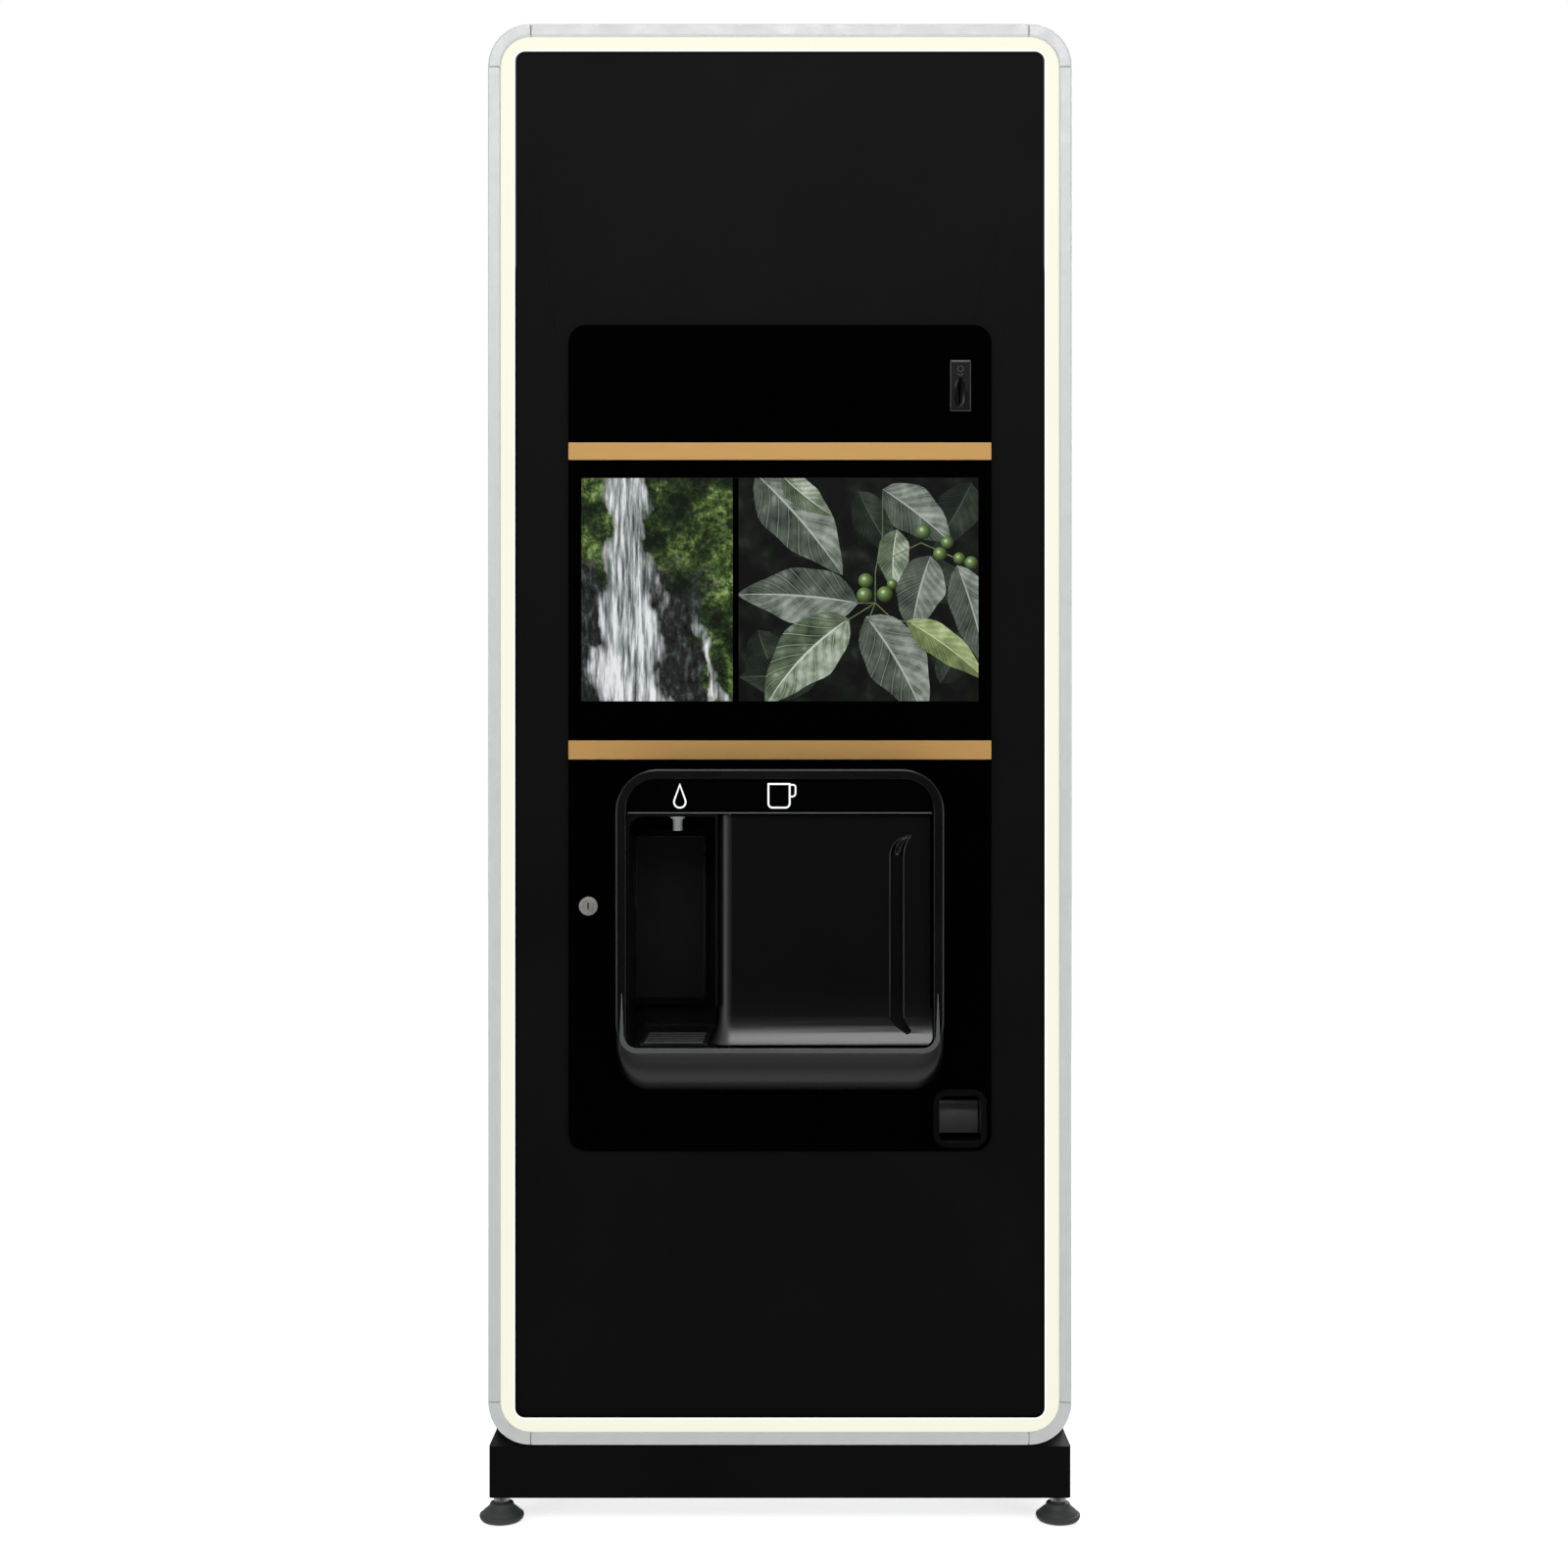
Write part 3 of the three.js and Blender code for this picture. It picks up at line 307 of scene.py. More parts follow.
# ---------------------------------------------------------------- mesh helpers


def object_from(bm, name, material, smooth=True):
    mesh = bpy.data.meshes.new(name)
    bmesh.ops.recalc_face_normals(bm, faces=bm.faces)
    bm.to_mesh(mesh)
    bm.free()
    for polygon in mesh.polygons:
        polygon.use_smooth = smooth
    piece = bpy.data.objects.new(name, mesh)
    bpy.context.scene.collection.objects.link(piece)
    piece.data.materials.append(material)
    return piece


def round_edges(piece, edge, segments=2, angle=30):
    """Rounds edges that are sharper than an angle in degrees; edge is in millimetres."""
    weld = piece.modifiers.new("weld", "WELD")
    weld.merge_threshold = 0.00002
    bevel = piece.modifiers.new("bevel", "BEVEL")
    bevel.width = edge * MM
    bevel.segments = segments
    bevel.limit_method = "ANGLE"
    bevel.angle_limit = math.radians(angle)
    bevel.harden_normals = True


def add_piece(bm, name, material, body, smooth=True, edge=0.0, segments=2):
    """Makes a mesh into a piece that rides on a body; an edge of 0 leaves it sharp."""
    piece = object_from(bm, name, material, smooth)
    if edge:
        round_edges(piece, edge, segments)
    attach(piece, body)
    return piece


def dress(node, material, edge, segments=2):
    """Gives a CAD node its material and rounds its edges; an edge of 0 leaves them sharp."""
    piece = NODES[node]
    piece.data.materials.clear()
    piece.data.materials.append(material)
    if "custom_normal" in piece.data.attributes:
        piece.data.attributes.remove(piece.data.attributes["custom_normal"])
    for polygon in piece.data.polygons:
        polygon.use_smooth = edge > 0
    if edge:
        round_edges(piece, edge, segments)


def middle_of(low, high):
    """The middle of a box in plan."""
    return (low.x + high.x) / 2, (low.y + high.y) / 2


BOX_FACES = ((0, 1, 3, 2), (4, 6, 7, 5), (0, 4, 5, 1), (2, 3, 7, 6), (0, 2, 6, 4), (1, 5, 7, 3))


def add_box(bm, low, high):
    xs, ys, zs = zip(low, high)
    corners = [bm.verts.new((x, y, z)) for x in xs for y in ys for z in zs]
    for face in BOX_FACES:
        bm.faces.new([corners[k] for k in face])


def skin(bm, rings, closed=False, capped=False):
    """Joins rings of points by faces; a ring may be a single point.

    When closed, the last ring is joined to the first; when capped, both ends get a face.
    """
    sides = max(len(ring) for ring in rings)
    followers = rings[1:] + rings[:1] if closed else rings[1:]
    for ring, following in zip(rings, followers):
        for j in range(sides):
            k = (j + 1) % sides
            corners = [ring[j % len(ring)], ring[k % len(ring)]]
            corners += [following[k % len(following)], following[j % len(following)]]
            unique = list(dict.fromkeys(corners))
            if len(unique) > 2:
                bm.faces.new(unique)
    if capped:
        bm.faces.new(rings[0][::-1])
        bm.faces.new(rings[-1])


def arc(cx, cz, radius, start, stop, steps):
    """Points of an arc, with its angles in degrees."""
    for k in range(steps + 1):
        angle = math.radians(start + (stop - start) * k / steps)
        yield cx + radius * math.cos(angle), cz + radius * math.sin(angle)


def rounded(left, right, low, high, radius, steps=8):
    """Front-view outline of a rounded rectangle, as a list of (x, z)."""
    corners = (
        (right - radius, low + radius, -90), (right - radius, high - radius, 0),
        (left + radius, high - radius, 90), (left + radius, low + radius, 180),
    )
    return [p for cx, cz, start in corners for p in arc(cx, cz, radius, start, start + 90, steps)]


def at_depth(bm, outline, y):
    """Points of a front-view outline, all at one depth."""
    return [bm.verts.new((x, y, z)) for x, z in outline]


def at_height(bm, outline, z):
    """Points of an outline in plan, all at one height."""
    return [bm.verts.new((x, y, z)) for x, y in outline]


def ring_between(bm, outer, inner, front, back):
    """A flat closed band between two outlines that have the same number of points."""
    corners = ((outer, front), (inner, front), (inner, back), (outer, back))
    skin(bm, [at_depth(bm, outline, y) for outline, y in corners], closed=True)


def slab(bm, outline, front, back):
    """A closed plate with the given front-view outline."""
    skin(bm, [at_depth(bm, outline, y) for y in (back, front)], capped=True)


def circle(sides):
    """Directions round a circle, each a cosine and a sine."""
    turns = [2 * math.pi * k / sides for k in range(sides)]
    return [(math.cos(turn), math.sin(turn)) for turn in turns]


def turned(bm, profile, centre, sides=48):
    """A body turned about a vertical axis; a radius of 0 is a tip on the axis."""
    rings = []
    for radius, height in profile:
        directions = circle(sides if radius else 1)
        outline = [(centre[0] + radius * c, centre[1] + radius * s) for c, s in directions]
        rings.append(at_height(bm, outline, height))
    skin(bm, rings)


def turned_along(bm, profile, origin, axis, sides=20):
    """A body turned about an axis through origin; the profile's heights run along the axis."""
    axis = Vector(axis).normalized()
    across = axis.orthogonal().normalized()
    other = axis.cross(across)
    rings = []
    for radius, height in profile:
        centre = Vector(origin) + axis * height
        directions = circle(sides if radius else 1)
        rings.append([bm.verts.new(centre + (across * c + other * s) * radius) for c, s in directions])
    skin(bm, rings)


def smooth_route(points, corner, steps=5):
    """Rounds the corners of a route of straight lines."""
    points = [Vector(p) for p in points]
    route = [points[0]]
    for before, point, after in zip(points, points[1:], points[2:]):
        reach = min(corner, (point - before).length / 2, (after - point).length / 2)
        enter = point + (before - point).normalized() * reach
        leave = point + (after - point).normalized() * reach
        for k in range(steps + 1):
            t = k / steps
            route.append((1 - t) ** 2 * enter + 2 * t * (1 - t) * point + t ** 2 * leave)
    route.append(points[-1])
    return route


def pipe(bm, points, radius, corner=0.02, sides=14):
    """A rigid pipe with closed ends along a route."""
    route = smooth_route(points, corner)
    side = (route[1] - route[0]).orthogonal().normalized()
    rings = []
    for i, spot in enumerate(route):
        along = (route[min(i + 1, len(route) - 1)] - route[max(i - 1, 0)]).normalized()
        side = (side - along * side.dot(along)).normalized()
        other = along.cross(side)
        rings.append([bm.verts.new(spot + (side * c + other * s) * radius) for c, s in circle(sides)])
    skin(bm, rings, capped=True)


# Radius and height along the head of a screw, each as a part of its full size.
SCREW = [(0, 0), (1.0, 0), (1.0, 0.25), (0.86, 0.62), (0.6, 0.85), (0.32, 0.9), (0.3, 0.45), (0, 0.4)]


def add_screws(name, body, spots, axis, radius=0.0038, height=0.0020, material=STUD_STEEL):
    """Domed screws with a round socket, standing on a face along an axis."""
    bm = bmesh.new()
    for spot in spots:
        turned_along(bm, [(r * radius, h * height) for r, h in SCREW], spot, axis, 18)
    add_piece(bm, name, material, body)


def add_blocks(name, body, material, blocks, edge=0.8, segments=2):
    """Boxes with rounded edges, joined in one piece; each is low corner then high corner."""
    bm = bmesh.new()
    for low, high in blocks:
        add_box(bm, low, high)
    add_piece(bm, name, material, body, edge=edge, segments=segments)


# ---------------------------------------------------------------- camera, light and floor

VIEW_DISTANCE = 2.6  # from the camera to the machine's front
FRAMED_WIDTH = 1.9112  # what the square picture takes in at that distance
SENSOR = 36.0
VIEW_RIGHT, VIEW_DROP = 0.005, 0.012  # the camera stands this far off the machine's middle

# Position, target, size and power of each light.
LIGHTS = {
    "key": ((-2.8, -3.0, 0.70), (0, -0.3, 0.5), (1.4, 2.0), 39),
    "fill": ((2.8, -3.0, 0.58), (0, -0.3, 0.5), (1.4, 2.0), 36),
    "overhead": ((0, -3.25, 2.98), (0, -0.35, 0.6), (2.4, 1.6), 53),
    "top": ((0, -0.35, 4.2), (0, -0.35, 0.9), (2.6, 1.6), 38),
    "rear": ((1.8, 3.6, 2.6), (0, 0, 0.9), (1.8, 2.2), 110),
}


def make_camera():
    data = bpy.data.cameras.new("camera")
    data.sensor_width = SENSOR
    data.lens = SENSOR * VIEW_DISTANCE / FRAMED_WIDTH
    camera = bpy.data.objects.new("camera", data)
    camera.location = (VIEW_RIGHT, FRAME_FRONT - VIEW_DISTANCE, FRAME_TOP / 2 - VIEW_DROP)
    camera.rotation_euler = (math.radians(90), 0, 0)
    bpy.context.scene.collection.objects.link(camera)
    bpy.context.scene.camera = camera


def make_world():
    """White to the camera; to the surfaces, a room that is dark in front, pale behind, white underfoot."""
    bpy.context.scene.view_settings.view_transform = "Standard"
    world = bpy.data.worlds.new("studio")
    bpy.context.scene.world = world
    world.use_nodes = True
    graph = Graph(world.node_tree)
    seen = graph.nodes["Background"]
    seen.inputs["Color"].default_value = (1, 1, 1, 1)
    seen.inputs["Strength"].default_value = 1.0
    direction = graph.split("Generated")
    shade = graph.ramp(graph.remap(direction["Y"], 0, 1, -1, 1), [
        (0.0, (0.004, 0.004, 0.004)),
        (0.30, (0.02, 0.02, 0.021)),
        (0.50, (0.42, 0.42, 0.43)),
        (0.70, (0.66, 0.66, 0.66)),
    ])
    steep = graph.remap(direction["Z"], 1, 0, -0.92, -0.55)
    around = graph.add("Background")
    graph.feed(around.inputs["Color"], graph.mix(steep, shade, graph.colour(0.85, 0.86, 0.85)))
    mix = graph.add("MixShader")
    sources = (graph.add("LightPath").outputs["Is Camera Ray"], around.outputs[0], seen.outputs[0])
    for socket, source in zip(mix.inputs, sources):
        graph.feed(socket, source)
    graph.feed(graph.nodes["World Output"].inputs["Surface"], mix.outputs[0])


def softbox(name, position, target, size, power):
    data = bpy.data.lights.new(name, "AREA")
    data.shape = "RECTANGLE"
    data.size, data.size_y = size
    data.energy = power
    light = bpy.data.objects.new(name, data)
    light.location = position
    light.rotation_mode = "QUATERNION"
    light.rotation_quaternion = (Vector(target) - Vector(position)).to_track_quat("-Z", "Y")
    light.visible_camera = False
    bpy.context.scene.collection.objects.link(light)


def make_lights():
    for name, values in LIGHTS.items():
        softbox(name, *values)


def make_floor():
    """A round pale floor that glows a little, so that it meets the white behind it without an edge."""
    material, graph, shader = new_material("pale_floor")
    greys = [(0.3, (0.93, 0.93, 0.93)), (0.7, (0.95, 0.95, 0.95))]
    graph.feed(shader["Base Color"], graph.ramp(graph.noise(0.8), greys))
    set_inputs(shader, Roughness=0.85, Specular_IOR_Level=0.1)
    set_inputs(shader, Emission_Color=(1, 1, 1, 1), Emission_Strength=0.72)
    bm = bmesh.new()
    bmesh.ops.create_circle(bm, cap_ends=True, segments=96, radius=14)
    floor = object_from(bm, "floor", material)
    floor.visible_glossy = False


# ---------------------------------------------------------------- carried-over nodes

# CAD nodes, their material, the rounding of their edges in millimetres, and its segments.
LOOKS = (
    ("left_side_panel right_side_panel top_cover", CABINET_STEEL, 0.8, 2),
    ("back_panel", CABINET_STEEL, 0.4, 2),
    ("plinth", BLACK_STEEL, 0.8, 2),
    ("door_panel", BLACK_STEEL, 0.5, 2),
    ("cabinet_floor upper_shelf brew_deck cash_box", GALVANISED, 0.4, 2),
    ("hinge_bracket_lower hinge_bracket_upper", GALVANISED, 0.4, 2),
    ("door_liner", GALVANISED, 0, 2),
    ("light_diffuser", LIT_STRIP, 0.6, 2),
    ("fascia_glass", GLASS_BLACK, 0.5, 2),
    ("display_module", GLASS_BLACK, 0.2, 2),
    ("upper_trim lower_trim", GOLD, 0.9, 3),
    ("bay_bezel", BAY_PLASTIC, 1.6, 4),
    ("bay_housing", BAY_PLASTIC, 0.8, 2),
    ("header_panel", GLOSS_BLACK, 0.9, 3),
    ("drip_grille", GRILLE_PLASTIC, 0.5, 2),
    ("delivery_door", DOOR_PLASTIC, 1.0, 3),
    ("coin_plate coin_return_cup coin_changer", COIN_PLASTIC, 0.9, 3),
    ("coin_flap", FLAP_LIT_PLASTIC, 0.9, 3),
    ("water_spout", SATIN_CHROME, 0.5, 3),
    ("brew_piston boiler", CHROME, 0.5, 3),
    ("lock_housing lock_plug water_pump water_inlet", NICKEL, 0.4, 3),
    ("canister_left canister_right cup_turret", IVORY, 1.5, 3),
    ("cup_turret_base cup_chute brew_unit control_box waste_bucket", GREY, 1.0, 2),
    ("mixer_left mixer_right", GREY, 1.0, 2),
    ("hopper_lid coffee_grinder mains_inlet", BAY_PLASTIC, 1.0, 3),
    ("bean_hopper", SMOKED, 0.8, 2),
)


def dress_nodes():
    for names, material, edge, segments in LOOKS:
        for name in names.split():
            dress(name, material, edge, segments)
    for name in NODES:
        if name.startswith("frame_"):
            dress(name, SILVER, 2.0, 4)


# ---------------------------------------------------------------- added pieces, door front


def add_strip_lines():
    """The bright inner edge of the light strip and the dark line between it and the panel."""
    corner = 11.7 * MM

    def outline(grow):
        left, right = PANEL_LOW.x - grow, PANEL_HIGH.x + grow
        return rounded(left, right, PANEL_LOW.z - grow, PANEL_HIGH.z + grow, corner + grow, 10)

    lines = (
        ("light_edge", LIT_LINE, "light_strip", 2.1, 0.5, -0.25, STRIP_FRONT + 0.4 * MM),
        ("panel_edge", GLASS_BLACK, "black_steel", 0.5, -0.8, -0.2, PANEL_LOW.y + 0.5 * MM),
    )
    for name, material, slot, outer, inner, proud, back in lines:
        bm = bmesh.new()
        ring_between(bm, outline(outer * MM), outline(inner * MM), STRIP_FRONT + proud * MM, back)
        add_piece(bm, name, material, DOOR, smooth=False)


def stroke(bm, points, width, front, back, closed=False):
    """A ribbon along a front-view line, with mitred corners; width is one value or one per point."""
    count = len(points)
    widths = width if isinstance(width, list) else [width] * count
    left, right = [], []
    for i, (x, z) in enumerate(points):
        before = points[i - 1] if closed or i > 0 else points[i]
        after = points[(i + 1) % count] if closed or i + 1 < count else points[i]
        enter = Vector((x - before[0], z - before[1]))
        leave = Vector((after[0] - x, after[1] - z))
        enter = enter.normalized() if enter.length else leave.normalized()
        leave = leave.normalized() if leave.length else enter
        along = (enter + leave).normalized()
        side = Vector((-along.y, along.x)) * (widths[i] / 2 / max(0.5, along.dot(enter)))
        left.append((x + side.x, z + side.y))
        right.append((x - side.x, z - side.y))
    if closed:
        ring_between(bm, left, right, front, back)
        return
    slab(bm, left + right[::-1], front, back)


def draw(name, material, body, lines, front, back, smooth=True):
    """A piece made of strokes; each line is its points, its width and whether it is closed."""
    bm = bmesh.new()
    for points, width, closed in lines:
        stroke(bm, points, width, front, back, closed)
    add_piece(bm, name, material, body, smooth=smooth)


def drop_line():
    """A water drop: most of a circle, drawn out to a tip."""
    x, z, radius, tip = -0.1200, 0.8815, 0.0070, 0.0205
    lean = math.degrees(math.acos(radius / tip))
    return [(x, z + tip)] + list(arc(x, z, radius, 90 - lean, -270 + lean, 24))


def mug_lines():
    """A mug with rounded lower corners, and its handle."""
    left, right, low, high, corner = -0.0137, 0.0118, 0.8746, 0.9030, 0.0050
    mug = [(left, high)]
    mug += arc(left + corner, low + corner, corner, 180, 270, 6)
    mug += arc(right - corner, low + corner, corner, 270, 360, 6)
    mug += [(right, high)]
    grip = [(right, high - 0.0010)]
    grip += arc(right + 0.0040, high - 0.0040, 0.0030, 90, 0, 5)
    grip += arc(right + 0.0030, high - 0.0110, 0.0040, 0, -90, 5)
    grip += [(right, high - 0.0150)]
    return [(mug, 0.0021, True), (grip, 0.0019, False)]


def add_header_marks():
    """Two plain pictograms in white ink that glows a little, and a painted highlight along the header's
    foot.
    """
    thick, inset = 0.25 * MM, 2 * MM
    front, back = HEADER_LOW.y - thick, HEADER_LOW.y + thick
    foot = HEADER_LOW.z + 0.9 * MM
    edge = [(HEADER_LOW.x + inset, foot), (HEADER_HIGH.x - inset, foot)]
    pieces = (
        ("icon_drop", GLOWING_INK, [(drop_line(), 0.0020, True)]),
        ("icon_mug", GLOWING_INK, mug_lines()),
        ("header_edge_highlight", PAINTED_HIGHLIGHT, [(edge, 1.1 * MM, False)]),
    )
    for name, material, lines in pieces:
        draw(name, material, DOOR, lines, front, back, smooth=False)


# The finger pull in the delivery door, and the door's face, in millimetres.
PULL_LEFT, PULL_RIGHT, PULL_LOW, PULL_HIGH, PULL_DEPTH = 133, 148.5, 620, 818, 7
TIP, TIP_LOW, TIP_HIGH = 158, 602, 841
LEAF_FRONT = -366.0


def curve(start, through, end, steps=8):
    """Points of a quadratic curve, the way the finger pull's ends are drawn."""
    points = []
    for i in range(steps + 1):
        t = i / steps
        points.append(tuple(
            a * (1 - t) ** 2 + 2 * b * t * (1 - t) + c * t ** 2 for a, b, c in zip(start, through, end)
        ))
    return points


def pull_ends():
    """The upper ends of the pull's outer and inner edge, from the tip down."""
    outer = curve((TIP, TIP_HIGH), (PULL_LEFT + 2, TIP_HIGH - 3), (PULL_LEFT, PULL_HIGH))
    inner = curve((TIP, TIP_HIGH), (PULL_RIGHT + 1, TIP_HIGH - 8), (PULL_RIGHT, PULL_HIGH - 2))
    return outer, inner


def add_pull_lip():
    """A fine raised lip along the two long edges of the finger pull and round its ends; its lighter
    plastic paints a highlight on these edges.
    """
    outer, inner = pull_ends()
    outer.append((PULL_LEFT, PULL_LOW))
    inner += curve((PULL_RIGHT, PULL_LOW + 4), (PULL_RIGHT + 1, PULL_LOW - 4), (TIP, TIP_LOW + 5))
    lines = [
        ([((x + shift) * MM, z * MM) for x, z in line], width * MM, False)
        for line, shift, width in ((outer, -0.5, 0.8), (inner, 0.6, 1.0))
    ]
    front, back = (LEAF_FRONT - 0.35) * MM, (LEAF_FRONT + 0.3) * MM
    draw("pull_lip_highlight", LIP_AND_HIGHLIGHT_PLASTIC, "delivery_door", lines, front, back)


def add_pull_scoop():
    """The upper end of the finger pull, rising in a smooth curve from its floor to the door's face."""
    outer, inner = pull_ends()
    back = LEAF_FRONT + PULL_DEPTH + 0.2
    steps = len(outer) - 1
    bm = bmesh.new()
    rows = []
    for i in range(1, steps + 1):
        rise = math.sin(math.pi / 2 * i / steps) ** 2
        front = LEAF_FRONT + 0.3 + (PULL_DEPTH - 0.4) * rise
        corners = ((outer[i], front), (inner[i], front), (inner[i], back), (outer[i], back))
        rows.append([bm.verts.new((x * MM, y * MM, z * MM)) for (x, z), y in corners])
    skin(bm, rows, capped=True)
    add_piece(bm, "pull_scoop", DOOR_PLASTIC, "delivery_door")


def add_rim_bead():
    """A rounded bead along the foot of the bay's rim, running out to nothing up both sides; its light
    plastic paints a highlight along the rim.
    """
    half, low, radius, top = 189.4 * MM, 583.4 * MM, 18.5 * MM, 652 * MM
    rise = [(-half, top - (top - low - radius) * i / 5) for i in range(5)]
    left = rise + list(arc(radius - half, low + radius, radius, 180, 270, 8))
    points = left + [(-x, z) for x, z in reversed(left)]
    full, narrow = 6.0 * MM, 7
    taper = [full * (0.12 + 0.88 * i / narrow) for i in range(narrow)]
    taper += [full] * (len(left) - narrow)
    bm = bmesh.new()
    stroke(bm, points, taper + taper[::-1], -381.1 * MM, -379.6 * MM)
    add_piece(bm, "rim_bead", BEAD_HIGHLIGHT_PLASTIC, DOOR, edge=1.0, segments=4)


def add_grille_ribs():
    """Raised ribs across the drip grille that hold a cup clear of the slots; their light grey paints a
    highlight along each rib.
    """
    low, high = box_of("drip_grille")
    left, right, foot, top = low.x + 6 * MM, high.x - 6 * MM, high.z - 0.3 * MM, high.z + 1.1 * MM
    first, pitch, half = 4, 24.3, 1.2 * MM
    ribs = []
    for i in range(5):
        y = low.y + (first + pitch * i) * MM
        ribs.append(((left, y - half, foot), (right, y + half, top)))
    add_blocks("grille_ribs", "grille", PAINTED_HIGHLIGHT, ribs, edge=0.3, segments=3)


def add_plinth_ledge():
    """Folded sheet that closes the plinth's top in front of the cabinet floor."""
    half, front, back, top = 328 * MM, -321 * MM, -250 * MM, 92.8 * MM
    under, foot = top - 1.6 * MM, top - 16 * MM
    sheet = [
        ((-half, front, under), (half, back, top)),
        ((-half, front, foot), (half, front + 1.6 * MM, under)),
        ((-half, back - 1.6 * MM, foot), (half, back, under)),
    ]
    add_blocks("plinth_ledge", CABINET, BLACK_STEEL, sheet, edge=0.4)
    spots = [(x * MM, -292 * MM, top) for x in (-290, -100, 100, 290)]
    add_screws("ledge_screws", CABINET, spots, (0, 0, 1))


def add_seam_cleats():
    """Strips inside the cabinet that lap the joint between each side and the top cover."""
    front, back, low, high = (n * MM for n in (-260, 375, 1765, 1782))
    inner, outer = 351.2 * MM, 352.6 * MM
    strips = [((a, front, low), (b, back, high)) for a, b in ((-outer, -inner), (inner, outer))]
    add_blocks("seam_cleats", CABINET, BLACK_STEEL, strips, edge=0.3)


def add_splash_face():
    """The raised face of the splashback behind the hot-water outlet, lightened to paint the light it
    catches, and a painted highlight along its top and right edge.
    """
    bm = bmesh.new()
    slab(bm, rounded(-183.5 * MM, -94 * MM, 634 * MM, 838 * MM, 5 * MM), -249.4 * MM, -247.8 * MM)
    add_piece(bm, "splash_face", SPLASH_LIT_PLASTIC, DOOR, edge=1.1, segments=4)
    edge = [(x * MM, z * MM) for x, z in ((-181, 837), (-96, 837), (-94.8, 833), (-94.8, 638))]
    widths = [width * MM for width in (0.5, 0.9, 1.7, 1.7)]
    lines = [(edge, widths, False)]
    draw("splash_edge_highlight", LIP_AND_HIGHLIGHT_PLASTIC, DOOR, lines, -249.9 * MM, -249.3 * MM)


def add_coin_plate_edges():
    """Painted highlights along the coin plate's edges: bright along the top, faint down both sides."""
    left, right, low, high = (n * MM for n in (207.9, 232.1, 1357.6, 1418.2))
    shoulder = high - 1.6 * MM
    pieces = (
        ("coin_plate_top_highlight", PAINTED_HIGHLIGHT, [(left, high), (right, high)], 1.9),
        ("coin_plate_side_highlights", LIP_AND_HIGHLIGHT_PLASTIC,
         [(left, shoulder), (left, low), (right, low), (right, shoulder)], 1.0),
    )
    for name, material, line, width in pieces:
        lines = [(line, width * MM, False)]
        draw(name, material, DOOR, lines, -337.55 * MM, -337.0 * MM)


def add_coin_mark():
    """A plain raised ring and chevron over the coin slot."""
    front = COIN_LOW.y
    middle = (COIN_LOW.x + COIN_HIGH.x) / 2
    ring = list(arc(middle, 1.4085, 0.0034, 0, 345, 23))
    chevron = [(middle - 0.0032, 1.4028), (middle, 1.4002), (middle + 0.0032, 1.4028)]
    lines = [(ring, 0.8 * MM, True), (chevron, 0.9 * MM, False)]
    draw("coin_mark", LIP_AND_HIGHLIGHT_PLASTIC, DOOR, lines, front - 0.4 * MM, front, smooth=False)


# ---------------------------------------------------------------- the display's two pictures

SCREEN_LEFT = SCREEN_LOW.x + SCREEN_MARGIN
SCREEN_RIGHT = SCREEN_HIGH.x - SCREEN_MARGIN
SCREEN_BOTTOM = SCREEN_LOW.z + SCREEN_MARGIN
SCREEN_TOP = SCREEN_HIGH.z - SCREEN_MARGIN
DIVIDE_LEFT, DIVIDE_RIGHT = -0.0575, -0.0503  # the dark gap between the pictures
LAYER = 0.045 * MM  # the step from one layer of a picture to the next


def picture_coordinates(graph, left, right):
    """Runs 0 to 1 across the picture and 0 to 1 up it."""
    width, height = right - left, SCREEN_TOP - SCREEN_BOTTOM
    start = (-left / width, 0, -SCREEN_BOTTOM / height)
    spot = graph.split(graph.mapping(Location=start, Scale=(1 / width, 1, 1 / height)))
    return spot["X"], spot["Z"]


def near_line(graph, across, centre, half, soft):
    """1 on a line and 0 away from it, with a soft edge."""
    off = graph.calc("ABSOLUTE", graph.calc("SUBTRACT", across, centre))
    inside = graph.calc("DIVIDE", graph.calc("SUBTRACT", half, off), soft)
    return graph.calc("SMOOTH_MIN", 1.0, graph.calc("MAXIMUM", 0.0, inside), 0.1)


def banks(graph, u, v):
    """Green slopes over a cliff of dark wet stone."""
    leaves = graph.noise(130.0, detail=9.0, roughness=0.72)
    mass = graph.noise(26.0)
    green = graph.ramp(graph.calc("MULTIPLY", leaves, graph.remap(mass, 0.55, 1.25)), [
        (0.30, (0.003, 0.006, 0.002)),
        (0.43, (0.018, 0.036, 0.009)),
        (0.54, (0.075, 0.125, 0.030)),
        (0.68, (0.25, 0.36, 0.12)),
    ])
    cracks = graph.noise(75.0, detail=8.0, stretch=(1.6, 1, 0.8), roughness=0.65)
    stone = graph.ramp(cracks, [
        (0.36, (0.002, 0.003, 0.003)),
        (0.52, (0.018, 0.021, 0.020)),
        (0.68, (0.085, 0.095, 0.092)),
    ])
    ragged = graph.calc("MULTIPLY", graph.calc("SUBTRACT", mass, 0.5), 0.55)
    bank = graph.calc("MINIMUM", graph.calc("SUBTRACT", 0.60, v), graph.calc("SUBTRACT", 0.82, u))
    rock_mask = graph.remap(graph.calc("ADD", bank, ragged), 0, 1, -0.02, 0.06)
    return graph.mix(rock_mask, green, stone)


